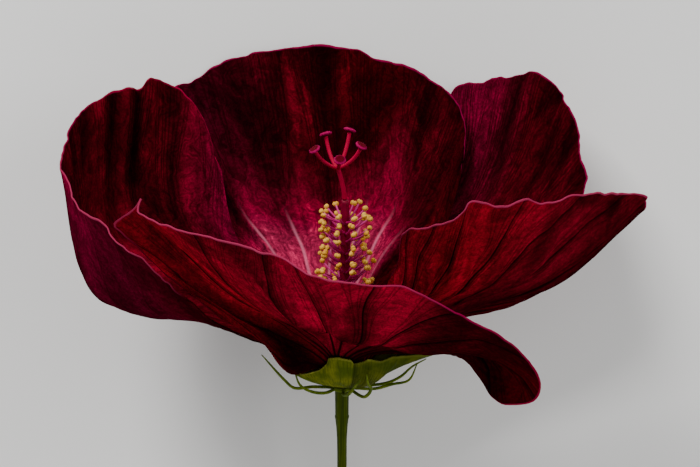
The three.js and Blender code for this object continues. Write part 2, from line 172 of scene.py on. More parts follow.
class Shape:
    """Points, faces and numbers on the points, gathered for one mesh."""

    def __init__(self):
        self.points, self.faces, self.materials, self.values = [], [], [], {}

    def add(self, points, faces, material=0, **values):
        """Adds a shape. The material is one slot or one for each face; values are point numbers."""
        start = sum(len(p) for p in self.points)
        self.points.append(np.asarray(points, float).reshape(-1, 3))
        self.faces += [[start + int(v) for v in face] for face in faces]
        self.materials += list(np.broadcast_to(material, len(faces)))
        for name, numbers in values.items():
            numbers = np.broadcast_to(numbers, (len(self.points[-1]), *np.shape(numbers)[1:]))
            self.values.setdefault(name, []).append(numbers)

    def build(self, name, materials, slot, nodes=()):
        """Makes the piece, which rides on the body and stands for the CAD nodes."""
        mesh = bpy.data.meshes.new(name)
        mesh.from_pydata(place_in_row(np.concatenate(self.points)).tolist(), [], self.faces)
        for material in materials:
            mesh.materials.append(material)
        mesh.polygons.foreach_set("material_index", np.array(self.materials, np.int32))
        mesh.polygons.foreach_set("use_smooth", np.ones(len(self.faces), bool))
        for key, numbers in self.values.items():
            numbers = np.concatenate(numbers).astype(np.float32)
            kind, field = ("FLOAT", "value") if numbers.ndim == 1 else ("FLOAT_VECTOR", "vector")
            mesh.attributes.new(key, kind, "POINT").data.foreach_set(field, numbers.ravel())
        mesh.update()
        piece = add_object(name, mesh)
        if nodes:
            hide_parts(*nodes)
        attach(piece, "root")
        return piece


# Materials.


class Finish:
    """A material whose Principled shader gets its colour, roughness and bump from nodes."""

    def __init__(self, name, **sockets):
        self.material = bpy.data.materials.new(name)
        self.material.use_nodes = True
        self.tree = self.material.node_tree
        self.shader = self.tree.nodes["Principled BSDF"]
        for socket, value in sockets.items():
            self.shader.inputs[socket.replace("_", " ")].default_value = value

    def put(self, value, socket):
        if isinstance(value, bpy.types.NodeSocket):
            self.tree.links.new(value, socket)
        else:
            socket.default_value = value

    def math(self, operation, *values):
        node = self.tree.nodes.new("ShaderNodeMath")
        node.operation = operation
        for value, socket in zip(values, node.inputs):
            self.put(value, socket)
        return node.outputs[0]

    def product(self, first, *others):
        for other in others:
            first = self.math("MULTIPLY", first, other)
        return first

    def step(self, value, low, high, out_low=0.0, out_high=1.0):
        """A smooth step of a value from one number to another."""
        node = self.tree.nodes.new("ShaderNodeMapRange")
        node.interpolation_type = "SMOOTHSTEP"
        for number, socket in zip((value, low, high, out_low, out_high), node.inputs):
            self.put(number, socket)
        return node.outputs[0]

    def attribute(self, name, output="Fac"):
        node = self.tree.nodes.new("ShaderNodeAttribute")
        node.attribute_name = name
        return node.outputs[output]

    def split(self, vector):
        node = self.tree.nodes.new("ShaderNodeSeparateXYZ")
        self.put(vector, node.inputs[0])
        return node.outputs

    def join(self, x, y, z=0.0):
        node = self.tree.nodes.new("ShaderNodeCombineXYZ")
        for value, socket in zip((x, y, z), node.inputs):
            self.put(value, socket)
        return node.outputs[0]

    def noise(self, vector, scale, detail, roughness):
        node = self.tree.nodes.new("ShaderNodeTexNoise")
        sockets = {"Vector": vector, "Scale": scale, "Detail": detail, "Roughness": roughness}
        for socket, value in sockets.items():
            self.put(value, node.inputs[socket])
        return node.outputs[0]

    def spots(self, scale, detail=2.0, roughness=0.5):
        """Noise by the point's own place on the object, at a scale per metre."""
        place = self.tree.nodes.new("ShaderNodeTexCoord").outputs["Object"]
        return self.noise(place, scale, detail, roughness)

    def streaks(self, x, x_scale, y, y_scale, detail, roughness):
        """Noise in a plane, from two numbers and their scales."""
        place = self.join(self.math("MULTIPLY", x, x_scale), self.math("MULTIPLY", y, y_scale))
        return self.noise(place, 1.0, detail, roughness)

    def mix(self, share, low, high, blend="MIX"):
        node = self.tree.nodes.new("ShaderNodeMix")
        node.data_type, node.blend_type = "RGBA", blend
        for value, socket in ((share, 0), (low, 6), (high, 7)):
            self.put(value if np.shape(value) != (3,) else (*value, 1), node.inputs[socket])
        return node.outputs[2]

    def ramp(self, value, colours):
        """A colour that passes through the colours, evenly spaced from 0 to 1."""
        node = self.tree.nodes.new("ShaderNodeValToRGB")
        elements = node.color_ramp.elements
        elements.remove(elements[-1])
        for index, colour in enumerate(colours):
            place = index / (len(colours) - 1)
            element = elements[0] if index == 0 else elements.new(place)
            element.position, element.color = place, (*colour, 1)
        self.put(value, node.inputs[0])
        return node.outputs[0]

    def bump(self, *heights):
        """Chains bumps, each a height, a strength and a depth in millimetres."""
        normal = None
        for height, strength, depth in heights:
            node = self.tree.nodes.new("ShaderNodeBump")
            self.put(height, node.inputs["Height"])
            node.inputs["Strength"].default_value = strength
            node.inputs["Distance"].default_value = depth / 1000
            if normal:
                self.put(normal, node.inputs["Normal"])
            normal = node.outputs[0]
        self.put(normal, self.shader.inputs["Normal"])

    def colour(self, value):
        self.put(value, self.shader.inputs["Base Color"])

    def roughness(self, value):
        self.put(value, self.shader.inputs["Roughness"])


# Petals. Every petal is a fan of veins. A vein starts at the claw inside the calyx, passes the
# throat, the flare and the belly, and ends on the margin. Its branches fork towards the margin: each
# fork has the height where it starts and how far it spreads, as a share of the way between veins.
CLAW = {"radius": 4.9, "z": -9.8, "half_angle": 24, "twist": 0}
THROAT = {"radius": 12.2, "z": 2.4, "half_angle": 35, "twist": 0.9}
PETAL_COLUMNS, PETAL_ROWS = 200, 128
ROW_BUNCHING = 0.92
CLAW_THICKNESS, PETAL_THICKNESS, RIM_THICKNESS = 0.6, 0.36, 0.5
RIM_WIDTH = 0.7
RIM_STEPS = 3
FLOOR_CLEARANCE = 0.4
VEIN_DEPTH, VEIN_WIDTH = 0.35, 0.8
VEIN_FORKS = [(0.3, 0.25), (0.5, 0.125), (0.68, 0.0625), (0.84, 0.03125)]

# Relief on the petals, each a height in millimetres and its bumps across half the petal and up it.
LONG_FOLDS, SHORT_FOLDS = (1.1, 6, 1.6), (0.7, 14, 2.6)
PLEATS, CRINKLES = (0.3, 32, 5), (0.2, 44, 24)
MARGIN_RUFFLE = (0.7, 14, 0.7)

# The margin's scallops in long and in short waves, in millimetres.
LONG_SCALLOP, SHORT_SCALLOP = 0.8, 0.4

# As shares of the petal's width: how far the veins wander from their lines in long and in short
# waves, and how long the throat's colours take to fade at the sides.
LONG_WANDER, SHORT_WANDER = 0.03, 0.012
THROAT_FADE = 0.18

# Linear colours of the petals.
RED = (0.36, 0.0006, 0.018)
CRIMSON = (0.38, 0.0006, 0.024)
MAGENTA = (0.34, 0.0012, 0.045)
# The rims' paler colours are partly the margin's own colour and partly painted highlight where light catches
# the edge.
PINK_RIM = (0.36, 0.03, 0.085)
CRIMSON_RIM = (0.26, 0.003, 0.03)
MAGENTA_RIM = (0.24, 0.002, 0.045)
DARK_RIM = (0.06, 0.0004, 0.006)
# A vein's own darker colour together with painted shade in its groove.
DARK_VEIN_AND_SHADE = (0.008, 0.0, 0.0005)
PALE_STREAK = (0.7, 0.2, 0.3)
THROAT_PINK = (0.34, 0.014, 0.06)
THROAT_CRIMSON = (0.19, 0.001, 0.02)

# What a petal has, unless it says otherwise. Places across a petal run from -1 at its first side to 1
# at its last side, and heights from 0 at the claw to 1 at the margin.
# azimuth: where the middle of the petal stands round the flower's axis.
# throat_lift, flare_lift: how far they are raised at the first side, the middle and the last side.
# ruffle: its height in millimetres at the margin, its waves across the petal, and its phase.
# belly, margin: points that the petal passes, from its first side to its last side.
# veins: each main vein's place across at the heights 0.25, 0.5, 0.75 and 1.
# outer, inner: tones across each side, each a colour and how much of it is left, by the dark velvet and by
# painted shade and light.
# patches: painted shade, and painted light where the strength is below 0: place across, height, half width,
# half height, and how much darker or, below 0, brighter.
# throat: the two places between which its colours show, and the height that they are scaled to.
# rim, rim_width: the rim's colours across, partly painted highlight on the edge, and its width in
# millimetres.
# dark_veins: how strong the dark veins, partly painted shade in their grooves, and the painted shade beside
# them are on the outer side.
PETAL_DEFAULTS = {
    "throat_lift": (0, 0, 0),
    "flare_lift": (4, 4, 4),
    "veins": [(place,) * 4 for place in np.linspace(-0.88, 0.88, 9)],
    "outer": [(CRIMSON, 0.4), (CRIMSON, 0.4)],
    "inner": [(CRIMSON, 0.15), (CRIMSON, 0.15)],
    "outer_patches": [],
    "inner_patches": [],
    "throat": (-0.95, 0.95, 0.6),
    "rim": [MAGENTA_RIM, MAGENTA_RIM],
    "dark_veins": 1.0,
}
PETALS = {
    "petal_1": {
        "azimuth": 258,
        "throat_lift": (-5, 0, 0),
        "flare_lift": (-7, 3.5, 1.5),
        "ruffle": (0.5, 5, 0.4),
        "belly": [
            (-28, -29, 16), (-40, -44, 39), (-6, -64, 34), (24, -62, 26), (44, -65, 27), (34.5, -52, 20.5),
        ],
        "margin": [
            (-40, -36, 26.5), (-50.5, -40, 38), (-58, -40, 45), (-66, -39, 51.5), (-75, -33, 57.5),
            (-72.5, -31, 59.5), (-68.5, -32, 63), (-66, -34, 67.5), (-67, -39, 65.5), (-65, -43, 64.5),
            (-59, -50, 64.5), (-44, -62, 66), (-33, -70, 66), (-19.5, -80, 64.5), (-5.5, -86, 60),
            (7.5, -88, 59), (24, -88, 54), (35.5, -86, 49), (48.5, -86, 41.5), (54.5, -85, 35.5),
            (60, -82.5, 24), (58, -80, 17), (50, -76, 14.5), (44, -66, 16.5), (40, -56, 19),
        ],
        "veins": [
            (-0.88, -0.9, -0.9, -0.9), (-0.62, -0.66, -0.74, -0.76), (-0.36, -0.46, -0.55, -0.56),
            (-0.25, -0.33, -0.4, -0.23), (-0.17, -0.24, -0.2, -0.04), (-0.06, -0.02, 0.03, 0.04),
            (0.04, 0.1, 0.22, 0.26), (0.22, 0.28, 0.31, 0.46), (0.36, 0.38, 0.4, 0.57),
            (0.6, 0.6, 0.61, 0.72), (0.82, 0.82, 0.83, 0.86),
        ],
        "outer": [
            (RED, 0.32), (RED, 0.4), (RED, 0.5), (CRIMSON, 0.75),
            (CRIMSON, 0.8), (CRIMSON, 0.2), (RED, 0.1), (RED, 0.08),
        ],
        "outer_patches": [
            (-0.85, 0.42, 0.4, 0.16, 0.8), (0.18, 0.83, 0.06, 0.05, 0.5), (0.42, 0.8, 0.1, 0.14, 0.35),
            (-0.04, 0.68, 0.2, 0.1, 0.6), (0.16, 0.73, 0.1, 0.07, 0.5), (0.12, 0.93, 0.12, 0.06, -0.2),
            (0.62, 0.66, 0.2, 0.14, 0.3), (0.72, 0.86, 0.08, 0.1, -0.5), (-0.5, 0.8, 0.12, 0.2, -0.3),
        ],
        "rim": [
            DARK_RIM, DARK_RIM, PINK_RIM, PINK_RIM, PINK_RIM, MAGENTA_RIM, CRIMSON_RIM, MAGENTA_RIM,
        ],
        "rim_width": 0.55,
    },
    "petal_2": {
        "azimuth": 330,
        "flare_lift": (-4, 3, 1.5),
        "ruffle": (0.5, 5, 1.1),
        "belly": [(13, -26, 28), (34, -38, 40), (60, -28, 38), (69.5, -10, 28.5), (55, 5, 14)],
        "margin": [
            (14, -30, 36), (17.5, -36, 48), (19.5, -43, 60), (29.5, -50, 63.5), (36.5, -54, 68.5),
            (39.5, -55, 73.5), (49.5, -52, 71), (58.5, -48, 71), (62.5, -45, 69), (73.5, -37, 70),
            (88, -28, 67), (99.5, -16, 61.5), (95, -4, 49.5), (83, 4, 33), (70, 6, 22),
        ],
        "veins": [
            (-0.88, -0.88, -0.86, -0.72), (-0.74, -0.72, -0.76, -0.62), (-0.56, -0.58, -0.56, -0.46),
            (-0.36, -0.32, -0.34, -0.2), (-0.1, 0, -0.14, 0.04), (0.14, 0.2, 0.1, 0.24),
            (0.38, 0.42, 0.36, 0.44), (0.62, 0.66, 0.64, 0.66), (0.84, 0.86, 0.86, 0.87),
        ],
        "outer": [(CRIMSON, 1.3), (RED, 0.66), (CRIMSON, 0.3), (CRIMSON, 0.13), (RED, 0.14)],
        "outer_patches": [
            (0.1, 0.94, 0.07, 0.05, 0.7), (0.25, 0.92, 0.06, 0.04, 0.7), (-0.02, 0.82, 0.05, 0.08, 0.4),
            (0.5, 0.9, 0.3, 0.1, 0.3), (-0.45, 0.75, 0.3, 0.2, -0.2),
        ],
        "rim": [DARK_RIM, PINK_RIM, PINK_RIM, PINK_RIM, MAGENTA_RIM, CRIMSON_RIM],
        "rim_width": 0.45,
    },
    "petal_3": {
        "azimuth": 42,
        "ruffle": (0.5, 5, 2.0),
        "belly": [(48, 12, 21), (59, 28, 31), (54, 46, 34), (38, 60, 35), (17, 54, 25)],
        "margin": [
            (70, 14, 36), (82.5, 22, 51), (81.5, 34, 61.5), (80, 46, 71), (72.5, 60, 78.5),
            (67.5, 66, 80), (57.5, 77, 74.5), (50.5, 83, 71), (41.5, 85, 69), (34, 82, 58), (20, 75, 44),
        ],
        "inner": [(CRIMSON, 0.08), (CRIMSON, 0.1), (CRIMSON, 0.11), (MAGENTA, 0.3), (MAGENTA, 0.25)],
        "inner_patches": [
            (-0.1, 0.96, 0.09, 0.05, 0.7), (-0.38, 0.95, 0.08, 0.05, 0.6), (-0.25, 0.85, 0.06, 0.1, 0.5),
            (0.12, 0.9, 0.05, 0.12, 0.4), (-0.55, 0.9, 0.2, 0.1, -0.4),
        ],
        "rim_width": 0.4,
    },
    "petal_4": {
        "azimuth": 114,
        "ruffle": (0.5, 6, 0.2),
        "belly": [(32, 31, 27), (18, 51, 35), (-9, 56, 37), (-34, 53, 35), (-47, 38, 27)],
        "margin": [
            (41, 53, 45), (43, 67, 60), (38, 76, 69), (31.5, 80, 73), (21, 83, 77.5), (12, 84, 79.5),
            (2.5, 84, 84), (-10, 84, 84.5), (-20, 84, 83.5), (-28.5, 85, 83), (-37, 86, 80.5),
            (-48.5, 88.5, 75), (-56.5, 84, 70.5), (-61.5, 80.5, 70.5), (-65, 72, 63), (-66, 60, 53),
        ],
        "veins": [(place,) * 4 for place in (-0.88, -0.66, -0.46, -0.22, 0.04, 0.3, 0.64, 0.86)],
        "inner": [
            (RED, 0.07), (CRIMSON, 0.11), (RED, 0.09), (CRIMSON, 0.11), (MAGENTA, 0.1), (CRIMSON, 0.08),
        ],
        "inner_patches": [
            (-0.2, 0.9, 0.2, 0.09, 0.6), (0.15, 0.95, 0.12, 0.04, -0.5), (0.35, 0.8, 0.2, 0.1, -0.2),
            (0.75, 0.93, 0.2, 0.08, 0.4), (0.5, 0.96, 0.1, 0.04, -0.3), (-0.75, 0.6, 0.14, 0.16, 0.5),
            (0.16, 0.95, 0.03, 0.09, -0.9), (0.08, 0.95, 0.02, 0.06, -0.8), (-0.1, 0.95, 0.03, 0.06, -0.9),
            (-0.35, 0.95, 0.03, 0.06, -0.7), (-0.25, 0.45, 0.3, 0.28, 0.5), (-0.27, 0.88, 0.04, 0.02, -0.9),
            (-0.62, 0.8, 0.06, 0.1, 0.4),
        ],
        "throat": (-0.8, 0.95, 1.0),
        "rim_width": 0.6,
    },
    "petal_5": {
        "azimuth": 186,
        "flare_lift": (5, 6, -2),
        "ruffle": (0.5, 6, 2.6),
        "belly": [(-37, 26, 31), (-62, 34, 36), (-83, 12, 32), (-82, -10, 24), (-41, -27, 21)],
        "margin": [
            (-44, 45, 50), (-50, 55, 65.5), (-55, 58, 72), (-60.5, 61, 76.5), (-69, 52, 81.5),
            (-71.5, 50, 79), (-77.5, 43, 80.5), (-83, 36, 80.5), (-90.5, 23, 78.5), (-94, 12, 72.5),
            (-95.5, 3, 67), (-92.5, -6, 63), (-87.5, -16, 59), (-79.5, -27, 55.5), (-75, -33, 53),
            (-69, -38, 50.5), (-59.5, -42, 44), (-51, -42, 34.5),
        ],
        "outer": [
            (CRIMSON, 0.3), (CRIMSON, 0.3), (MAGENTA, 0.5), (MAGENTA, 0.32), (MAGENTA, 0.14), (CRIMSON, 0.1),
        ],
        "inner": [
            (MAGENTA, 0.3), (CRIMSON, 0.25), (CRIMSON, 0.16), (CRIMSON, 0.16), (CRIMSON, 0.14), (RED, 0.06),
        ],
        "outer_patches": [(0.3, 0.95, 0.2, 0.08, -0.5)],
        "inner_patches": [
            (-0.4, 0.9, 0.06, 0.1, 0.75), (-0.2, 0.95, 0.04, 0.06, -0.6), (-0.06, 0.95, 0.03, 0.06, -0.5),
            (-0.55, 0.92, 0.08, 0.08, -0.3), (-0.1, 0.9, 0.05, 0.05, 0.5), (0.4, 0.85, 0.5, 0.2, 0.4),
        ],
        "throat": (-0.95, 0.3, 0.6),
        "rim": [CRIMSON_RIM, CRIMSON_RIM, CRIMSON_RIM, MAGENTA_RIM, PINK_RIM, PINK_RIM, DARK_RIM],
        "rim_width": 0.5,
        "dark_veins": 0.3,
    },
}


def ring_points(ring, azimuth, across):
    radius = ring["radius"] + across * ring["twist"]
    return around(radius, azimuth + across * ring["half_angle"], ring["z"])


def height_across(heights, across):
    """A height given at the first side, the middle and the last side, at places across the petal."""
    first, middle, last = heights
    return middle + (np.where(across < 0, first, last) - middle) * across**2


def vein_points(petal, across):
    """The five points that each vein passes, as an array of (point, vein, xyz)."""
    along = (across + 1) / 2
    throat = ring_points(THROAT, petal["azimuth"], across)
    throat[:, 2] += height_across(petal["throat_lift"], across)
    outer = spline_by_length(petal["belly"], along)
    flare = (throat + outer) / 2
    flare[:, 2] += height_across(petal["flare_lift"], across)
    claw = ring_points(CLAW, petal["azimuth"], across)
    return np.stack([claw, throat, flare, outer, spline_by_length(petal["margin"], along)])


def grid_directions(grid):
    """Unit directions up the veins, across them, and along the normal to the inner side."""
    up = np.gradient(grid, axis=0)
    side = np.gradient(grid, axis=1)
    normal = np.cross(up, side)
    return [d / np.linalg.norm(d, axis=-1, keepdims=True) for d in (up, side, normal)]


def run_lengths(grid, axis):
    """The length from the grid's first row or column to each point."""
    steps = np.linalg.norm(np.diff(grid, axis=axis), axis=-1)
    start = np.zeros_like(steps.take([0], axis))
    return np.concatenate([start, np.cumsum(steps, axis)], axis)


def vein_cells(veins, across, up):
    """Each point's place among the main veins: vein k runs where the place is k + 0.5."""
    heights = np.linspace(0, 1, 5)
    lines = np.stack([np.column_stack([(row[0], *row), heights]) for row in veins], 1)
    lines = spline(lines, up)[..., 0]
    numbers = [0, *(np.arange(len(veins)) + 0.5), len(veins)]
    return np.array([np.interp(across, [-1, *line, 1], numbers) for line in lines])


def petal_surface(petal, seed):
    """The petal's middle surface, and the numbers that its finish reads at each point.

    The numbers are the fan (place among the veins, height, width between veins) and the spot
    (place across, distance from the edge, fold).
    """
    across = np.linspace(-1, 1, PETAL_COLUMNS)
    up = np.linspace(0, 1, PETAL_ROWS) ** ROW_BUNCHING
    grid = spline(vein_points(petal, across), up)
    a, u = np.meshgrid(across, up)
    height, waves, phase = petal["ruffle"]
    _, _, normal = grid_directions(grid)
    wave = np.sin(np.pi * waves * (a + 1) + phase)
    grid += normal * (height * u**4 * wave)[..., None]
    width = run_lengths(grid, 1)
    rise = run_lengths(grid, 0)
    edge = np.minimum(np.minimum(width, width[:, -1:] - width), rise[-1:] - rise)
    wander = LONG_WANDER * lattice_noise(3 * a + 9, 3 * u, seed)
    wander += SHORT_WANDER * lattice_noise(9 * a, 8 * u, seed + 1)
    cells = vein_cells(petal["veins"], across, up)
    cells += wander * smooth(u / 0.4) * len(petal["veins"])
    cell_width = np.gradient(width, axis=1) / np.gradient(cells, axis=1)
    forked = u + 0.08 * lattice_noise(5 * a, u + 3, seed + 2) * smooth(u / 0.3)
    folds = petal_folds(a, u, seed)
    groove = np.abs(cells % 1 - 0.5) * cell_width
    relief = folds - VEIN_DEPTH * np.exp(-((groove / VEIN_WIDTH) ** 2)) * smooth(u / 0.25) * (1 - 0.7 * u)
    up_way, _, normal = grid_directions(grid)
    scallop = LONG_SCALLOP * lattice_noise(9 * a + 3, 0 * u, seed + 3)
    scallop += SHORT_SCALLOP * lattice_noise(31 * a, 0 * u, seed + 4)
    grid += normal * relief[..., None] + up_way * (scallop * u**12)[..., None]
    fan = np.stack([cells, forked, cell_width], -1)
    return lift_off_floor(grid, FLOOR_CLEARANCE), fan, np.stack([(a + 1) / 2, edge, folds], -1)


def bumps(kind, a, u, seed):
    """One kind of relief, at places across and heights."""
    height, bumps_across, bumps_up = kind
    return height * lattice_noise(bumps_across * a, bumps_up * u, seed)


def petal_folds(a, u, seed):
    """How far the surface moves to the inner side: long soft folds, pleats, crinkles and the ruffle."""
    spread = smooth((u - 0.2) / 0.4)
    inside = smooth((1 - np.abs(a)) / 0.25)
    folds = bumps(LONG_FOLDS, a, u, seed + 5) + bumps(SHORT_FOLDS, a, u, seed + 6)
    pleats = bumps(PLEATS, a, u, seed + 7)
    crinkle = bumps(CRINKLES, a, u, seed + 8)
    ruffle = bumps(MARGIN_RUFFLE, a, u, seed + 9) * smooth((u - 0.82) / 0.18)
    return (folds * inside + pleats + crinkle) * spread + ruffle


def petal_shape(petal, seed):
    """A thin blade round the petal's surface, with a rounded rim."""
    grid, fan, spot = petal_surface(petal, seed)
    rows, columns = fan.shape[:2]
    up, side, normal = grid_directions(grid)
    u, edge = fan[..., 1], spot[..., 1]
    thickness = CLAW_THICKNESS + (PETAL_THICKNESS - CLAW_THICKNESS) * smooth(u / 0.35)
    thickness = thickness + (RIM_THICKNESS - PETAL_THICKNESS) * smooth(1 - edge / RIM_WIDTH) * smooth(4 * u)
    half = thickness[..., None] / 2
    quads = grid_quads(rows, columns)
    numbers = {"fan": fan.reshape(-1, 3), "spot": spot.reshape(-1, 3)}
    shape = Shape()
    shape.add(grid + normal * half, quads, 0, **numbers)
    shape.add(grid - normal * half, quads[:, ::-1], 1, **numbers)
    rim = rim_indices(rows, columns)
    outward = rim_outward(up, side, rows, columns)
    i, j = np.divmod(rim, columns)
    rings = []
    for step in range(1, RIM_STEPS + 1):
        turn = math.pi * step / (RIM_STEPS + 1)
        ring = normal[i, j] * math.cos(turn) + outward[i, j] * math.sin(turn)
        rings.append(grid[i, j] + ring * half[i, j])
    add_rim(shape, rim, rings, rows * columns, fan[i, j], spot[i, j] * (1, 0, 1))
    return shape


def rim_indices(rows, columns):
    """The grid's border, once round."""
    first = np.arange(columns - 1)
    right = np.arange(rows - 1) * columns + columns - 1
    top = (rows - 1) * columns + np.arange(columns - 1, 0, -1)
    left = np.arange(rows - 1, 0, -1) * columns
    return np.concatenate([first, right, top, left])


def rim_outward(up, side, rows, columns):
    """The direction out of the blade, at each point of the border."""
    outward = np.zeros((rows, columns, 3))
    outward[0] -= up[0]
    outward[-1] += up[-1]
    outward[:, 0] -= side[:, 0]
    outward[:, -1] += side[:, -1]
    return outward / np.maximum(np.linalg.norm(outward, axis=-1, keepdims=True), 1e-9)


def add_rim(shape, rim, rings, points_a_side, fan, spot):
    """Joins the blade's two sides round the border, by way of the rings."""
    count = len(rim)
    start = 2 * points_a_side
    numbers = [rim, *(start + k * count + np.arange(count) for k in range(len(rings))), rim + points_a_side]
    faces = []
    for low, high in zip(numbers, numbers[1:]):
        faces.append(np.stack([low, np.roll(low, -1), np.roll(high, -1), high], -1))
    shape.points.append(np.concatenate(rings))
    shape.faces += np.concatenate(faces).tolist()
    shape.materials += [0] * (count * len(faces))
    shape.values["fan"].append(np.tile(fan, (len(rings), 1)))
    shape.values["spot"].append(np.tile(spot, (len(rings), 1)))


def vein_distances(finish, cells, up, cell_width):
    """Millimetres from the nearest main vein, with a sign for its side, and from the nearest branch."""
    offset = finish.math("SUBTRACT", finish.math("FRACT", cells), 0.5)
    branch = finish.math("ABSOLUTE", offset)
    for start, spread in VEIN_FORKS:
        split = finish.step(up, start, 1.15, 0.0, spread)
        branch = finish.math("ABSOLUTE", finish.math("SUBTRACT", branch, split))
    return finish.math("MULTIPLY", offset, cell_width), finish.math("MULTIPLY", branch, cell_width)


def petal_noises(finish, cells, up):
    """Flames, fibres and crinkles: noises that follow the veins."""
    flames = finish.streaks(cells, 1.7, up, 6.0, 4.0, 0.6)
    sway = finish.step(finish.spots(110.0), 0.25, 0.75, -0.2, 0.2)
    swayed = finish.math("ADD", cells, sway)
    fibres = finish.streaks(swayed, 11.0, up, 22.0, 3.0, 0.7)
    crinkles = finish.streaks(cells, 2.4, up, 46.0, 3.0, 0.6)
    return flames, fibres, crinkles


def fold_light_and_grain(finish, fold, flames, fibres, crinkles, rough):
    """Painted light and shade by the folds, the flame streaks and the crinkles, times the fibres and grain.
    """
    grain = finish.spots(1300.0, 2.0, 0.7)
    return finish.product(
        finish.step(fold, -1.3, 1.1, 0.35, 1.65),
        finish.step(flames, 0.34, 0.64, 1 + 0.35 * rough, 1 - 0.4 * rough),
        finish.step(fibres, 0.3, 0.68, 1 + 0.45 * rough, 1 - 0.5 * rough),
        finish.step(crinkles, 0.35, 0.65, 1.2, 0.8),
        finish.step(grain, 0.35, 0.65, 1.25, 0.75),
    )


def petal_finish(name, petal, side):
    """Velvet: tones across the petal, patches, painted light and shade by the folds, fine fibres that follow
    the veins, veins and a rim.
    """
    finish = Finish(name, Specular_IOR_Level=0.0, Roughness=0.8)
    cells, up, cell_width = finish.split(finish.attribute("fan", "Vector"))
    across, edge, fold = finish.split(finish.attribute("spot", "Vector"))
    flames, fibres, crinkles = petal_noises(finish, cells, up)
    main, branch = vein_distances(finish, cells, up, cell_width)
    half_width = finish.step(up, 0.2, 1.0, 0.65, 0.42)
    thick = finish.step(finish.math("ABSOLUTE", main), 0.15, half_width, 1.0, 0.0)
    thin = finish.step(branch, 0.05, 0.26, 1.0, 0.0)
    # The tones' brightness across the petal is partly painted shade and light.
    colour = finish.ramp(across, [np.array(tone) * left for tone, left in petal[side]])
    patches = patch_light(finish, across, up, flames, petal[f"{side}_patches"])
    if side == "inner":
        first, last, reach = petal["throat"]
        throat = throat_share(finish, across, first, last)
        throat_up = finish.math("DIVIDE", up, reach)
        colour = throat_colour(finish, colour, throat_up, throat)
        light = finish.product(fold_light_and_grain(finish, fold, flames, fibres, crinkles, 1.0), *patches)
        colour = finish.mix(1.0, colour, light, "MULTIPLY")
        colour = inner_veins(finish, colour, up, main, thick, thin, throat_up, throat)
    else:
        # Painted shade towards the base, where the outer side turns away from the light above.
        foot = finish.step(up, 0.4, 0.85, 0.5, 1.0)
        shade = vein_shade(finish, up, main, petal["dark_veins"])
        # Painted shade and light by the folds, flames and crinkles, with the fibres and grain.
        velvet = fold_light_and_grain(finish, fold, flames, fibres, crinkles, 0.6)
        colour = finish.mix(1.0, colour, finish.product(velvet, *patches, foot, shade), "MULTIPLY")
        colour = outer_veins(finish, colour, up, thick, thin, petal["dark_veins"])
    rim = rim_share(finish, across, edge, up, flames, petal["rim_width"])
    finish.colour(finish.mix(rim, colour, finish.ramp(across, petal["rim"])))
    finish.bump((thick, -0.7, 0.4), (flames, -0.6, 1.2), (fibres, -0.8, 0.5), (crinkles, -0.6, 0.4))
    return finish.material


def throat_share(finish, across, first, last):
    """Where the throat's colours show: between two places across the petal."""
    first, last = (first + 1) / 2, (last + 1) / 2
    past_first = finish.step(across, first, first + THROAT_FADE)
    return finish.product(past_first, finish.step(across, last, last - THROAT_FADE))


def throat_colour(finish, colour, up, strength):
    """Crimson and then pink towards the throat."""
    colour = finish.mix(finish.product(strength, finish.step(up, 0.87, 0.6)), colour, THROAT_CRIMSON)
    return finish.mix(finish.product(strength, finish.step(up, 0.7, 0.52)), colour, THROAT_PINK)


def patch_light(finish, across, up, flames, patches):
    """How much light each patch leaves, with ragged edges: painted shade, and painted light where its
    strength is below 0.
    """
    ragged = finish.step(flames, 0.3, 0.7, -0.45, 0.45)
    for place, height, half_width, half_height, strength in patches:
        x = finish.math("MULTIPLY_ADD", across, 2 / half_width, -(1 + place) / half_width)
        y = finish.math("MULTIPLY_ADD", up, 1 / half_height, -height / half_height)
        square = finish.math("ADD", finish.math("MULTIPLY", x, x), finish.math("MULTIPLY", y, y))
        yield finish.step(finish.math("ADD", square, ragged), 1.3, 0.1, 1.0, 1.0 - strength)


def vein_shade(finish, up, main, strength):
    """The soft shade that a raised vein casts on its one side, where the veins lie well apart."""
    across = finish.product(finish.step(main, 2.6, 0.0), finish.step(main, -0.5, 0.1))
    beside = finish.product(across, finish.step(up, 0.5, 0.75))
    return finish.step(beside, 0.0, 1.0, 1.0, 1.0 - 0.6 * strength)


def inner_veins(finish, colour, up, main, thick, thin, throat_up, strength):
    """Soft pale veins at the throat, and dark ones higher up, partly painted shade in their grooves."""
    soft = finish.step(finish.math("ABSOLUTE", main), 0.9, 0.1)
    pale = finish.product(soft, strength, finish.step(throat_up, 0.74, 0.55, 0.0, 0.45))
    colour = finish.mix(pale, colour, PALE_STREAK)
    dark = finish.product(finish.math("MAXIMUM", thick, thin), finish.step(up, 0.7, 0.85), 0.6)
    return finish.mix(dark, colour, DARK_VEIN_AND_SHADE)


def outer_veins(finish, colour, up, thick, thin, strength):
    """Dark veins that fork towards the margin: their own darker colour and painted shade in their grooves.
    """
    thick = finish.product(thick, finish.step(up, 0.85, 1.0, 0.97 * strength, 0.7 * strength))
    thin = finish.product(thin, finish.step(up, 0.4, 0.95, 0.8 * strength, 0.45 * strength))
    return finish.mix(finish.math("MAXIMUM", thick, thin), colour, DARK_VEIN_AND_SHADE)


def rim_share(finish, across, edge, up, flames, width):
    """How much of the rim's colour, partly painted highlight, shows: a thin band of changing width, but not
    down the sides.
    """
    reach = finish.step(flames, 0.35, 0.65, 0.4 * width, 1.6 * width)
    share = finish.step(finish.math("DIVIDE", edge, reach), 0.25, 1.0, 0.9, 0.0)
    aside = finish.math("ABSOLUTE", finish.math("MULTIPLY_ADD", across, 2.0, -1.0))
    return finish.product(share, finish.step(up, 0.55, 0.85), finish.step(aside, 0.99, 0.95))


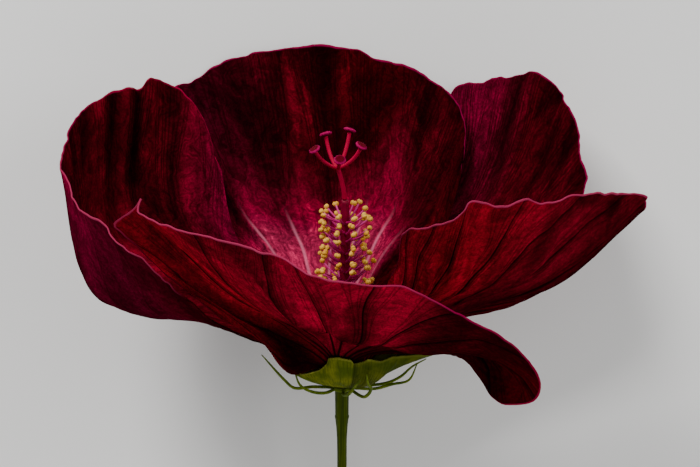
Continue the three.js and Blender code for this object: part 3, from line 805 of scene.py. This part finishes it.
def make_petals():
    for seed, (name, own) in enumerate(PETALS.items()):
        petal = {**PETAL_DEFAULTS, **own}
        materials = [petal_finish(f"{name}_{side}", petal, side) for side in ("inner", "outer")]
        petal_shape(petal, 20 * seed + 40).build(f"{name}_blade", materials, "petal", [name])


# Tubes and turned shapes. Each is given as its points, its faces and each point's way along it.


def swept_tube(points, radii, sides, flatness=1.0):
    """A closed tube along the points, with a pole at each end."""
    points = np.asarray(points, float)
    tangents = np.gradient(points, axis=0)
    tangents /= np.linalg.norm(tangents, axis=1, keepdims=True)
    normal = np.cross(tangents[0], (0.3, 0.5, 0.81))
    rings = []
    for point, tangent, radius in zip(points, tangents, np.broadcast_to(radii, len(points))):
        normal = normal - tangent * (normal @ tangent)
        normal /= np.linalg.norm(normal)
        binormal = np.cross(tangent, normal)
        turn = np.linspace(0, 2 * math.pi, sides, endpoint=False)[:, None]
        rings.append(point + radius * (np.cos(turn) * normal + flatness * np.sin(turn) * binormal))
    ways = np.linspace(0, 1, len(points))
    return cap_rings(rings, points[0] - tangents[0] * 0.01, points[-1] + tangents[-1] * 0.01, ways)


def cap_rings(rings, first, last, ways):
    """A closed skin over rings of points, with a point at each end."""
    sides = len(rings[0])
    points = np.concatenate([*rings, [first, last]])
    faces = grid_quads(len(rings), sides, closed=True)[:, ::-1].tolist()
    start, end = len(points) - 2, len(points) - 1
    top = (len(rings) - 1) * sides
    for j in range(sides):
        faces.append([start, (j + 1) % sides, j])
        faces.append([end, top + j, top + (j + 1) % sides])
    return points, faces, np.concatenate([np.repeat(ways, sides), [ways[0], ways[-1]]])


def turned(profile, sides, ripple=0.0, ribs=0):
    """A shape turned about the flower's axis, from its profile of radii and heights."""
    azimuths = np.linspace(0, 360, sides, endpoint=False)
    swell = 1 + ripple * np.cos(np.radians(ribs * azimuths))
    rings = [around(radius * swell, azimuths, z) for radius, z in profile]
    low, high = profile[0][1], profile[-1][1]
    ways = np.array([(z - low) / (high - low) for _, z in profile])
    return cap_rings(rings, (0, 0, low), (0, 0, high), ways)


def radii_along(profile, heights):
    """The radii of a profile at the heights."""
    radii, places = zip(*profile)
    return np.interp(heights, places, radii)


# The stem.
STEM_TOP_Z = CALYX_BOTTOM_Z - SEAT_GAP
STEM_PROFILE = [
    (STEM_RADIUS, -STEM_LENGTH),
    (STEM_RADIUS * 0.96, -STEM_LENGTH * 0.55),
    (STEM_RADIUS * 0.98, STEM_JOINT_Z - 12),
    (STEM_RADIUS * 1.02, STEM_JOINT_Z - 8),
    (STEM_RADIUS * 1.16, STEM_JOINT_Z - 4),
    (UPPER_STEM_RADIUS * 0.94, STEM_JOINT_Z - 1.2),
    (UPPER_STEM_RADIUS * 1.02, STEM_JOINT_Z - 0.3),
    (UPPER_STEM_RADIUS * 1.04, STEM_JOINT_Z + 0.2),
    (UPPER_STEM_RADIUS * 0.97, STEM_JOINT_Z + 0.6),
    (UPPER_STEM_RADIUS * 0.98, STEM_JOINT_Z + 5),
    (UPPER_STEM_RADIUS, STEM_TOP_Z - 3),
    (KNOB_RADIUS, STEM_TOP_Z),
]
STEM_GREEN, STEM_SHADE = (0.06, 0.085, 0.002), (0.02, 0.032, 0.0008)


def green_finish(name, pale, dark, streak_scale, roughness=0.5):
    """A fresh green skin: pale and dark streaks along it, fine down and faint mottling."""
    finish = Finish(name, Specular_IOR_Level=0.05, Roughness=roughness)
    turn, up, _ = finish.split(finish.attribute("fan", "Vector"))
    streaks = finish.streaks(turn, streak_scale, up, 4.0, 3.0, 0.6)
    mottle = finish.spots(300.0, 3.0, 0.6)
    down = finish.spots(2600.0, 1.0, 0.5)
    colour = finish.mix(finish.step(streaks, 0.35, 0.65), dark, pale)
    colour = finish.mix(finish.step(mottle, 0.35, 0.8, 0.0, 0.5), colour, dark)
    finish.colour(colour)
    finish.roughness(finish.step(mottle, 0.3, 0.7, roughness - 0.08, roughness + 0.12))
    finish.bump((streaks, 0.6, 0.2), (down, 0.5, 0.05))
    return finish.material


def fan_of(azimuth, way):
    """The numbers that a green finish reads: turns round the axis, the way up, and nothing."""
    azimuth, way = np.broadcast_arrays(azimuth, way)
    return np.stack([azimuth, way, 0 * way], -1)


def make_stem():
    heights = np.concatenate(
        [np.linspace(-STEM_LENGTH, STEM_JOINT_Z - 5, 60), np.linspace(STEM_JOINT_Z - 4.8, STEM_TOP_Z, 60)]
    )
    profile = list(zip(radii_along(STEM_PROFILE, heights), heights))
    points, faces, way = turned(profile, 40, 0.012, 9)
    turn = np.arctan2(points[:, 1], points[:, 0]) / (2 * math.pi)
    shape = Shape()
    points = lift_off_floor(points + (STEM_X, 0, 0), 0)
    shape.add(points, faces, fan=fan_of(np.abs(turn), way))
    finish = green_finish("stem_skin", STEM_GREEN, STEM_SHADE, 26.0)
    shape.build("stem_stalk", [finish], "stem", ["stem"])


# The calyx: a wide shallow cup that opens into five lobes. At each azimuth its wall leaves the floor,
# bends at a shoulder and ends on the rim, and between the azimuths given here it changes evenly.
# Each row gives the azimuth, the shoulder's radius and height, and the rim's radius and height.
CALYX_FLOOR = (3, CALYX_BOTTOM_Z)
CALYX_FOOT = (9.5, CALYX_BOTTOM_Z + 1.2)
CALYX_PLACES = [
    (5, 13.5, -8.5, 17, -0.5),
    (50, 14, -8, 21, 2),
    (86, 13, -8, 15.5, -2),
    (122, 14, -8, 20, 2),
    (158, 13, -8.5, 15.5, -4),
    (185, 13, -9.3, 16, -5.4),
    (204, 13, -9.3, 16.9, -5.8),
    (216, 13, -8.6, 15.2, -4.4),
    (233, 13, -7.5, 14.2, -1.9),
    (244, 13, -7, 14.2, 0.9),
    (250, 13, -6.5, 16.2, 3.9),
    (262, 13, -6.5, 17.2, 4.8),
    (277, 13, -6.5, 16.8, 3.7),
    (282, 12.4, -7, 14.6, 1.4),
    (294, 13.4, -7.4, 15.3, 2),
    (303, 14.5, -8.4, 16, 2.8),
    (315, 14.6, -8.8, 17.4, 1.6),
    (325, 16.5, -9, 19.8, 2.8),
    (331, 15.5, -7.2, 23.5, 3),
    (337, 12.8, -5.6, 33.8, 4.4),
    (343, 13, -5.6, 28.5, 3.4),
    (352, 14.5, -8, 22.5, 1.2),
]
CALYX_SIDES, CALYX_STEPS = 600, 40
SEPAL_THICKNESS = 0.45
SEPAL_RIBS = 100
SEPAL_RIB_HEIGHT = 0.07
PLEAT = {"azimuth": 301, "width": 34, "height": 0.8}
CALYX_SEAM = 283
SEPAL_OLIVE, SEPAL_YELLOW = (0.055, 0.08, 0.0025), (0.16, 0.17, 0.005)
SEPAL_LINE, SEPAL_RIM = (0.035, 0.05, 0.002), (0.24, 0.24, 0.03)
SEPAL_SHADE = (0.018, 0.026, 0.001)


def calyx_wall(azimuths, inset):
    """Rings of points from the floor to the rim, set in from the outer face."""
    places = np.array(CALYX_PLACES)
    turns = np.append(places[:, 0], places[0, 0] + 360)
    wrapped = (azimuths - turns[0]) % 360 + turns[0]
    values = [np.interp(wrapped, turns, np.append(column, column[0])) for column in places[:, 1:].T]
    shoulder, rim = np.stack(values[:2], -1), np.stack(values[2:], -1)
    foot, floor = (np.broadcast_to(point, shoulder.shape) for point in (CALYX_FOOT, CALYX_FLOOR))
    past = wrapped - PLEAT["azimuth"]
    pleat = PLEAT["height"] * smooth(past / 2) * smooth((PLEAT["width"] - past) / PLEAT["width"])
    ribs = SEPAL_RIB_HEIGHT * np.cos(np.radians(azimuths * SEPAL_RIBS))
    rings = []
    for share in np.linspace(0, 1, CALYX_STEPS):
        place, ahead, behind = (
            bezier((floor, foot, shoulder, rim), np.full(len(azimuths), at))
            for at in (share, share + 0.01, share - 0.01)
        )
        normal = (ahead - behind)[:, ::-1] * (1, -1)
        normal /= np.linalg.norm(normal, axis=1, keepdims=True)
        swell = ribs * smooth(share * 2.5) + pleat * smooth(share * 3 - 0.5) * (1 - 0.6 * share)
        place = place + normal * (swell - inset)[:, None]
        rings.append(around(place[:, 0], azimuths, place[:, 1]))
    return rings


def make_calyx():
    azimuths = np.linspace(0, 360, CALYX_SIDES, endpoint=False)
    outer = calyx_wall(azimuths, (CALYX_WALL - SEPAL_THICKNESS) / 2)
    inner = calyx_wall(azimuths, (CALYX_WALL + SEPAL_THICKNESS) / 2)[::-1]
    shares = np.linspace(0, 1, CALYX_STEPS)
    ways = np.concatenate([shares, shares[::-1]])
    low, high = outer[0][:, 2].mean(), inner[-1][:, 2].mean()
    points, faces, way = cap_rings(outer + inner, (0, 0, low), (0, 0, high), ways)
    turn = np.append(np.tile(azimuths, len(ways)), [0, 0])
    shape = Shape()
    shape.add(points, faces, fan=fan_of(turn / 360, way))
    shape.build("calyx_cup", [calyx_finish()], "calyx", ["calyx"])


def calyx_finish():
    """Olive sepals: yellow patches, fine lines along them, a paler rim, and painted shade past the seam,
    deepest in its crease.
    """
    finish = Finish("calyx_skin", Specular_IOR_Level=0.04, Roughness=0.6)
    turn, up, _ = finish.split(finish.attribute("fan", "Vector"))
    lines = finish.streaks(turn, 150.0, up, 3.0, 2.0, 0.6)
    tone = finish.spots(130.0, 3.0, 0.6)
    down = finish.spots(2400.0, 1.0, 0.5)
    colour = finish.mix(finish.step(tone, 0.35, 0.65), SEPAL_OLIVE, SEPAL_YELLOW)
    colour = finish.mix(finish.step(lines, 0.5, 0.65, 0.0, 0.6), colour, SEPAL_LINE)
    colour = finish.mix(finish.step(up, 0.965, 0.995, 0.0, 0.7), colour, SEPAL_RIM)
    # Painted shade over the sepal past the seam, and deeper along the crease at the seam.
    seam = CALYX_SEAM / 360
    colour = finish.mix(finish.step(turn, seam - 0.003, seam + 0.006, 0.0, 0.6), colour, SEPAL_SHADE)
    crease = finish.step(finish.math("ABSOLUTE", finish.math("SUBTRACT", turn, seam)), 0.012, 0.0)
    colour = finish.mix(finish.product(crease, 0.7), colour, SEPAL_SHADE)
    finish.colour(colour)
    finish.bump((lines, 0.6, 0.2), (down, 0.4, 0.04))
    return finish.material


# The epicalyx: narrow bractlets that grow from a collar round the stem. The front ones curl as given
# here, and the back ones bend up in planes through the stem's axis.
BRACTLET_RADIUS = 0.66
BRACTLET_FLATNESS = 0.85
COLLAR_OUTER, COLLAR_HEIGHT = 3.9, 1.5
BRACTLET_ROOT_Z = STEM_TOP_Z - COLLAR_HEIGHT / 2
BRACTLET_ROOT_RADIUS = 3.4
FRONT_BRACTLETS = [
    (190, [(-11.3, -5, -10.8), (-17.3, -8, -9.9), (-20.5, -9, -6.6), (-28, -14, 4.8)]),
    (222, [(-6.5, -5, -13), (-11, -7.5, -11.6), (-15.2, -10, -8), (-17.1, -10.5, -2.6)]),
    (282, [(-0.5, -7, -12.9), (1.2, -10.8, -11), (3.4, -13.6, -6.9), (5.2, -15.6, -3.6)]),
    (322, [(6.6, -9, -12.8), (8.9, -12, -8.6), (7.8, -15, -5.4), (7.3, -17.2, -1)]),
    (342, [(10.2, -4, -11.9), (15.9, -7, -9), (21.7, -8.9, -6.6), (24.4, -9.4, -0.6)]),
    (5, [(13.7, -1.5, -11), (18.8, -3.4, -7.8), (23, -5, -3.2), (27.6, -6, 0)]),
]
BACK_BRACTLETS = [(30, 25, 11), (62, 27, 13), (95, 24, 10), (128, 27, 12), (160, 25, 9)]
BRACTLET_STEPS = 40
BRACTLET_GREEN, BRACTLET_SHADE = (0.13, 0.17, 0.008), (0.045, 0.075, 0.003)


def bractlet_root(azimuth):
    return around(BRACTLET_ROOT_RADIUS, azimuth, BRACTLET_ROOT_Z) + (STEM_X, 0, 0)


def bractlet_spines():
    """Each bractlet's middle line."""
    ways = np.linspace(0, 1, BRACTLET_STEPS)
    for azimuth, points in FRONT_BRACTLETS:
        yield spline_by_length([bractlet_root(azimuth), *points], ways)
    for azimuth, reach, rise in BACK_BRACTLETS:
        controls = [
            bractlet_root(azimuth),
            around(reach * 0.55, azimuth, BRACTLET_ROOT_Z - 0.6),
            around(reach * 0.95, azimuth, BRACTLET_ROOT_Z + rise * 0.35),
            around(reach, azimuth, BRACTLET_ROOT_Z + rise),
        ]
        yield bezier(controls, ways)


def make_epicalyx():
    shape = Shape()
    bottom = STEM_TOP_Z - COLLAR_HEIGHT
    profile = [
        (KNOB_RADIUS + SEAT_GAP, bottom),
        (COLLAR_OUTER - 0.5, bottom),
        (COLLAR_OUTER - 0.1, bottom + 0.3),
        (COLLAR_OUTER, bottom + 0.8),
        (COLLAR_OUTER - 0.1, STEM_TOP_Z - 0.2),
        (COLLAR_OUTER - 0.4, STEM_TOP_Z),
    ]
    points, faces, way = turned(profile, 66, 0.02, 11)
    shape.add(points + (STEM_X, 0, 0), faces, fan=fan_of(0 * way, way))
    ways = np.linspace(0, 1, BRACTLET_STEPS)
    radii = BRACTLET_RADIUS * (1 - ways**3 * 0.7)
    for k, spine in enumerate(bractlet_spines()):
        points, faces, way = swept_tube(spine, radii, 12, BRACTLET_FLATNESS)
        shape.add(points, faces, fan=fan_of(k + 0 * way, way))
    finish = green_finish("bractlet_skin", BRACTLET_GREEN, BRACTLET_SHADE, 3.0)
    shape.build("epicalyx_bractlets", [finish], "epicalyx", ["epicalyx"])


# The staminal column: five double rows of filaments, each with its anther.


def seeded_random(seed):
    """The part's own small generator, so that the repeats lie where its solids are."""
    state = seed
    while True:
        state = (state * 1664525 + 1013904223) % 4294967296
        yield state / 4294967296


def between(random, low, high):
    return low + (high - low) * next(random)


STAMEN_LEVELS = 11
STAMEN_ROWS = (270, 342, 54, 126, 198)
STAMEN_LOWEST_Z, STAMEN_HIGHEST_Z = 12, 46
FILAMENT_RADIUS = 0.34
ANTHER_RADIUS = 1.05
COLUMN_PROFILE = [(3.4, COLUMN_FOOT_Z), (2.6, 0), (2.1, 12), (1.5, 50), (1.15, COLUMN_TOP_Z)]
COLUMN_DARK, COLUMN_RED = (0.08, 0.0003, 0.007), (0.3, 0.002, 0.035)
FILAMENT_RED, FILAMENT_PINK, FILAMENT_TIP = (0.36, 0.001, 0.1), (0.65, 0.012, 0.24), (0.8, 0.09, 0.36)
POLLEN_GOLD, POLLEN_PALE, POLLEN_SHADE = (0.78, 0.36, 0.03), (0.9, 0.52, 0.08), (0.5, 0.2, 0.02)


def stamens():
    """Each stamen's azimuth, root height, length and tilt, as in the part."""
    random = seeded_random(5)
    for level in range(STAMEN_LEVELS):
        share = level / (STAMEN_LEVELS - 1)
        root = STAMEN_LOWEST_Z + (STAMEN_HIGHEST_Z - STAMEN_LOWEST_Z) * share
        for row in STAMEN_ROWS:
            for side in (-1, 1):
                azimuth = row + side * between(random, 12, 21)
                length = between(random, 9.4, 11) - 1.4 * share
                z = root + between(random, 0, 1.6)
                yield azimuth, z, length, between(random, 26, 42)


def round_ball(steps, sides):
    """A ball's points and faces, of unit radius."""
    turns = np.linspace(0, math.pi, steps + 2)[1:-1]
    rings = [around(math.sin(t), np.linspace(0, 360, sides, endpoint=False), -math.cos(t)) for t in turns]
    points, faces, _ = cap_rings(rings, (0, 0, -1), (0, 0, 1), turns)
    return points, faces


def anther_ball():
    """A kidney: a ball with a furrow, flattened and rough with pollen."""
    points, faces = round_ball(12, 22)
    furrow = 0.34 * np.exp(-((points[:, 0] / 0.22) ** 2)) * smooth(points[:, 2] + 0.6)
    rough = 0.05 * lattice_noise(7 * points[:, 0] + 9, 7 * points[:, 1] + 5 * points[:, 2], 3)
    shaped = points * (1 - furrow + rough)[:, None]
    return shaped * (1.08, 0.86, 0.92), faces


def facing(direction, roll):
    """A rotation that takes +z to the direction, after a roll about it."""
    turn = Vector(direction).to_track_quat("Z", "Y").to_matrix() @ Matrix.Rotation(roll, 3, "Z")
    return np.array(turn)


def make_staminal_column():
    rolls = np.random.default_rng(7)
    column, anthers = Shape(), Shape()
    heights = np.linspace(COLUMN_FOOT_Z, COLUMN_TOP_Z, 60)
    profile = list(zip(radii_along(COLUMN_PROFILE, heights), heights))
    points, faces, way = turned(profile, 40, 0.06, 5)
    column.add(points, faces, 0, way=way)
    ball, ball_faces = anther_ball()
    for azimuth, z, length, tilt in stamens():
        angle = math.radians(tilt + rolls.uniform(-6, 6))
        reach = 0.6 + length * math.cos(angle)
        rise = z + length * math.sin(angle)
        spine = bezier(
            [
                around(0.9, azimuth, z),
                around(0.6 + reach * 0.55, azimuth + rolls.uniform(-4, 4), z + 0.34 * (rise - z)),
                around(reach, azimuth, rise),
            ],
            np.linspace(0, 1, 10),
        )
        points, faces, way = swept_tube(spine, FILAMENT_RADIUS * np.linspace(1.25, 0.85, 10), 6)
        column.add(points, faces, 1, way=way)
        turn = facing(spine[-1] - spine[-2], rolls.uniform(0, 6.3))
        size = ANTHER_RADIUS * rolls.uniform(0.86, 1.1)
        anthers.add(ball * size @ turn.T + spine[-1], ball_faces)
    skin = streaked_finish(
        "column_skin", 420.0, COLUMN_DARK, COLUMN_RED, (0.5, 0.2), Roughness=0.45, Specular_IOR_Level=0.08
    )
    column.build("staminal_column_filaments", [skin, filament_finish()], "stamen", ["staminal_column"])
    anthers.build("anthers", [anther_finish()], "stamen")


def streaked_finish(name, scale, dark, bright, bump, **sockets):
    """A skin with dark and bright streaks, and a bump from them of a strength and a depth."""
    finish = Finish(name, **sockets)
    streaks = finish.spots(scale, 3.0, 0.6)
    finish.colour(finish.mix(streaks, dark, bright))
    finish.bump((streaks, *bump))
    return finish.material


def filament_finish():
    finish = Finish("filament_skin", Roughness=0.4, Specular_IOR_Level=0.2)
    pale = finish.spots(160.0, 1.0, 0.5)
    way = finish.attribute("way")
    root = finish.mix(finish.step(pale, 0.4, 0.7), FILAMENT_RED, FILAMENT_PINK)
    finish.colour(finish.mix(finish.step(way, 0.4, 1.0, 0.0, 0.7), root, FILAMENT_TIP))
    finish.bump((pale, 0.3, 0.05))
    return finish.material


def anther_finish():
    finish = Finish("anther_pollen", Roughness=0.75, Specular_IOR_Level=0.2)
    grains = finish.spots(2600.0, 2.0, 0.6)
    tone = finish.spots(330.0, 2.0, 0.5)
    colour = finish.mix(finish.step(tone, 0.35, 0.65), POLLEN_GOLD, POLLEN_PALE)
    # Painted shade in the hollows between the pollen grains.
    colour = finish.mix(finish.step(grains, 0.45, 0.3, 0.0, 0.5), colour, POLLEN_SHADE)
    finish.colour(colour)
    finish.bump((grains, 0.9, 0.12))
    return finish.material


# The style: it leaves the top of the column and parts into five branches with round stigmas.
STYLE_RADIUS, BRANCH_RADIUS = 0.75, 0.64
STYLE_FORK = np.array((-2.6, 0, 67))
STIGMA_RADIUS, STIGMA_FLATNESS = 2.0, 0.42
STIGMA_LEAN = 30
STIGMAS = [(-1.6, -8, 71.5), (5.4, -2.5, 74.6), (1.6, 6.5, 77.2), (-6.4, 6.5, 75.8), (-10, -2.5, 73.3)]
STYLE_DARK, STYLE_RED = (0.34, 0.0004, 0.022), (0.48, 0.001, 0.05)
STIGMA_DARK, STIGMA_RED = (0.09, 0.0003, 0.006), (0.4, 0.003, 0.09)


def add_stigma(shape, tip, outward):
    """A flat round stigma, rough with short papillae."""
    points, faces = round_ball(16, 40)
    bristle = 0.09 * lattice_noise(9 * points[:, 0] + 20, 9 * points[:, 1] + 20, 5)
    dish = 1 - 0.35 * np.exp(-((points[:, 0] ** 2 + points[:, 1] ** 2) / 0.25)) * (points[:, 2] > 0)
    points = points * (1 + bristle)[:, None] * np.stack([np.ones_like(dish), np.ones_like(dish), dish], -1)
    points = points * (STIGMA_RADIUS, STIGMA_RADIUS, STIGMA_RADIUS * STIGMA_FLATNESS)
    turn = Matrix.Rotation(math.atan2(outward[1], outward[0]), 3, "Z")
    lean = turn @ Matrix.Rotation(math.radians(STIGMA_LEAN), 3, "Y")
    rim = np.hypot(points[:, 0], points[:, 1]) / STIGMA_RADIUS
    shape.add(points @ np.array(lean).T + tip + (0, 0, 0.4), faces, 1, way=rim)


def make_style():
    shape = Shape()
    foot, bend = (0, 0, COLUMN_TOP_Z + SEAT_GAP), (-0.6, 0, COLUMN_TOP_Z + 6)
    spine = bezier([foot, bend, STYLE_FORK], np.linspace(0, 1, 24))
    points, faces, way = swept_tube(spine, STYLE_RADIUS, 16)
    shape.add(points, faces, 0, way=way)
    for place in STIGMAS:
        tip = np.array(place, float)
        outward = (tip - STYLE_FORK) * (1, 1, 0)
        controls = [STYLE_FORK - (0, 0, 0.8), STYLE_FORK + outward * 0.7 + (0, 0, 1.5), tip]
        points, faces, way = swept_tube(bezier(controls, np.linspace(0, 1, 20)), BRANCH_RADIUS, 14)
        shape.add(points, faces, 0, way=way)
        add_stigma(shape, tip, outward)
    skin = streaked_finish(
        "style_skin", 500.0, STYLE_DARK, STYLE_RED, (0.4, 0.1), Roughness=0.5, Specular_IOR_Level=0.04
    )
    shape.build("style_branches", [skin, stigma_finish()], "style", ["style"])


def stigma_finish():
    finish = Finish("stigma_down", Roughness=0.7, Specular_IOR_Level=0.03)
    rim = finish.step(finish.attribute("way"), 0.65, 1.0)
    down = finish.spots(3200.0, 2.0, 0.6)
    finish.colour(finish.mix(rim, STIGMA_DARK, STIGMA_RED))
    finish.bump((down, 0.9, 0.2))
    return finish.material


# The floor, the lights and the camera, in metres. A light has its place, its size and its power in
# watts, and all of them face the flower's heart.
FLOOR_COLOUR, FLOOR_REACH = (0.8, 0.79, 0.77, 1), 4
SKY_COLOUR, SKY_STRENGTH = (0.95, 0.97, 1, 1), 0.4
HEART = (0, 0.02, 0.06)
LIGHTS = {
    "key_light": ((-0.45, 0.8, 0.75), 0.4, 13),
    "fill_light": ((0.9, 0.2, 0.8), 0.8, 5),
    "front_light": ((0.1, -0.7, 0.8), 0.6, 2.5),
}


def make_floor():
    finish = Finish("floor_paper", Roughness=0.9)
    finish.colour(FLOOR_COLOUR)
    mesh = bpy.data.meshes.new("floor")
    corners = [(x * FLOOR_REACH, y * FLOOR_REACH, 0) for x, y in ((-1, -1), (1, -1), (1, 1), (-1, 1))]
    mesh.from_pydata(corners, [], [[0, 1, 2, 3]])
    mesh.materials.append(finish.material)
    floor = add_object("floor", mesh)


def make_lights():
    for name, (place, size, power) in LIGHTS.items():
        light = bpy.data.lights.new(name, "AREA")
        light.size, light.energy = size, power
        lamp = add_object(name, light)
        lamp.location = place
        lamp.rotation_euler = (Vector(HEART) - Vector(place)).to_track_quat("-Z", "Y").to_euler()
    world = bpy.data.worlds.new("studio")
    world.use_nodes = True
    background = world.node_tree.nodes["Background"]
    background.inputs[0].default_value = SKY_COLOUR
    background.inputs[1].default_value = SKY_STRENGTH
    bpy.context.scene.world = world


def make_camera():
    """The photo's view: the flower's open face seen from a little above it."""
    angle = math.radians(VIEW_ANGLE)
    right = Vector((1, 0, 0))
    upward = Vector((0, math.sin(angle), math.cos(angle)))
    forward = Vector((0, math.cos(angle), -math.sin(angle)))
    middle = Vector((PICTURE_SIZE[0] / 2, PICTURE_SIZE[1] / 2))
    offset = MM_PER_PIXEL * (middle - Vector(CALYX_MOUTH_PIXEL))
    place = right * offset.x - upward * offset.y - forward * VIEW_DISTANCE
    camera = add_object("camera", bpy.data.cameras.new("camera"))
    turn = Matrix((right, upward, -forward)).transposed().to_4x4()
    camera.matrix_world = FLOWER @ Matrix.Translation(place / 1000) @ turn
    camera.data.sensor_width = SENSOR_WIDTH
    camera.data.lens = SENSOR_WIDTH * VIEW_DISTANCE / (MM_PER_PIXEL * PICTURE_SIZE[0])
    camera.data.clip_start, camera.data.clip_end = 0.01, 20
    bpy.context.scene.camera = camera


make_camera()
make_floor()
make_lights()
make_petals()
make_stem()
make_calyx()
make_epicalyx()
make_staminal_column()
make_style()
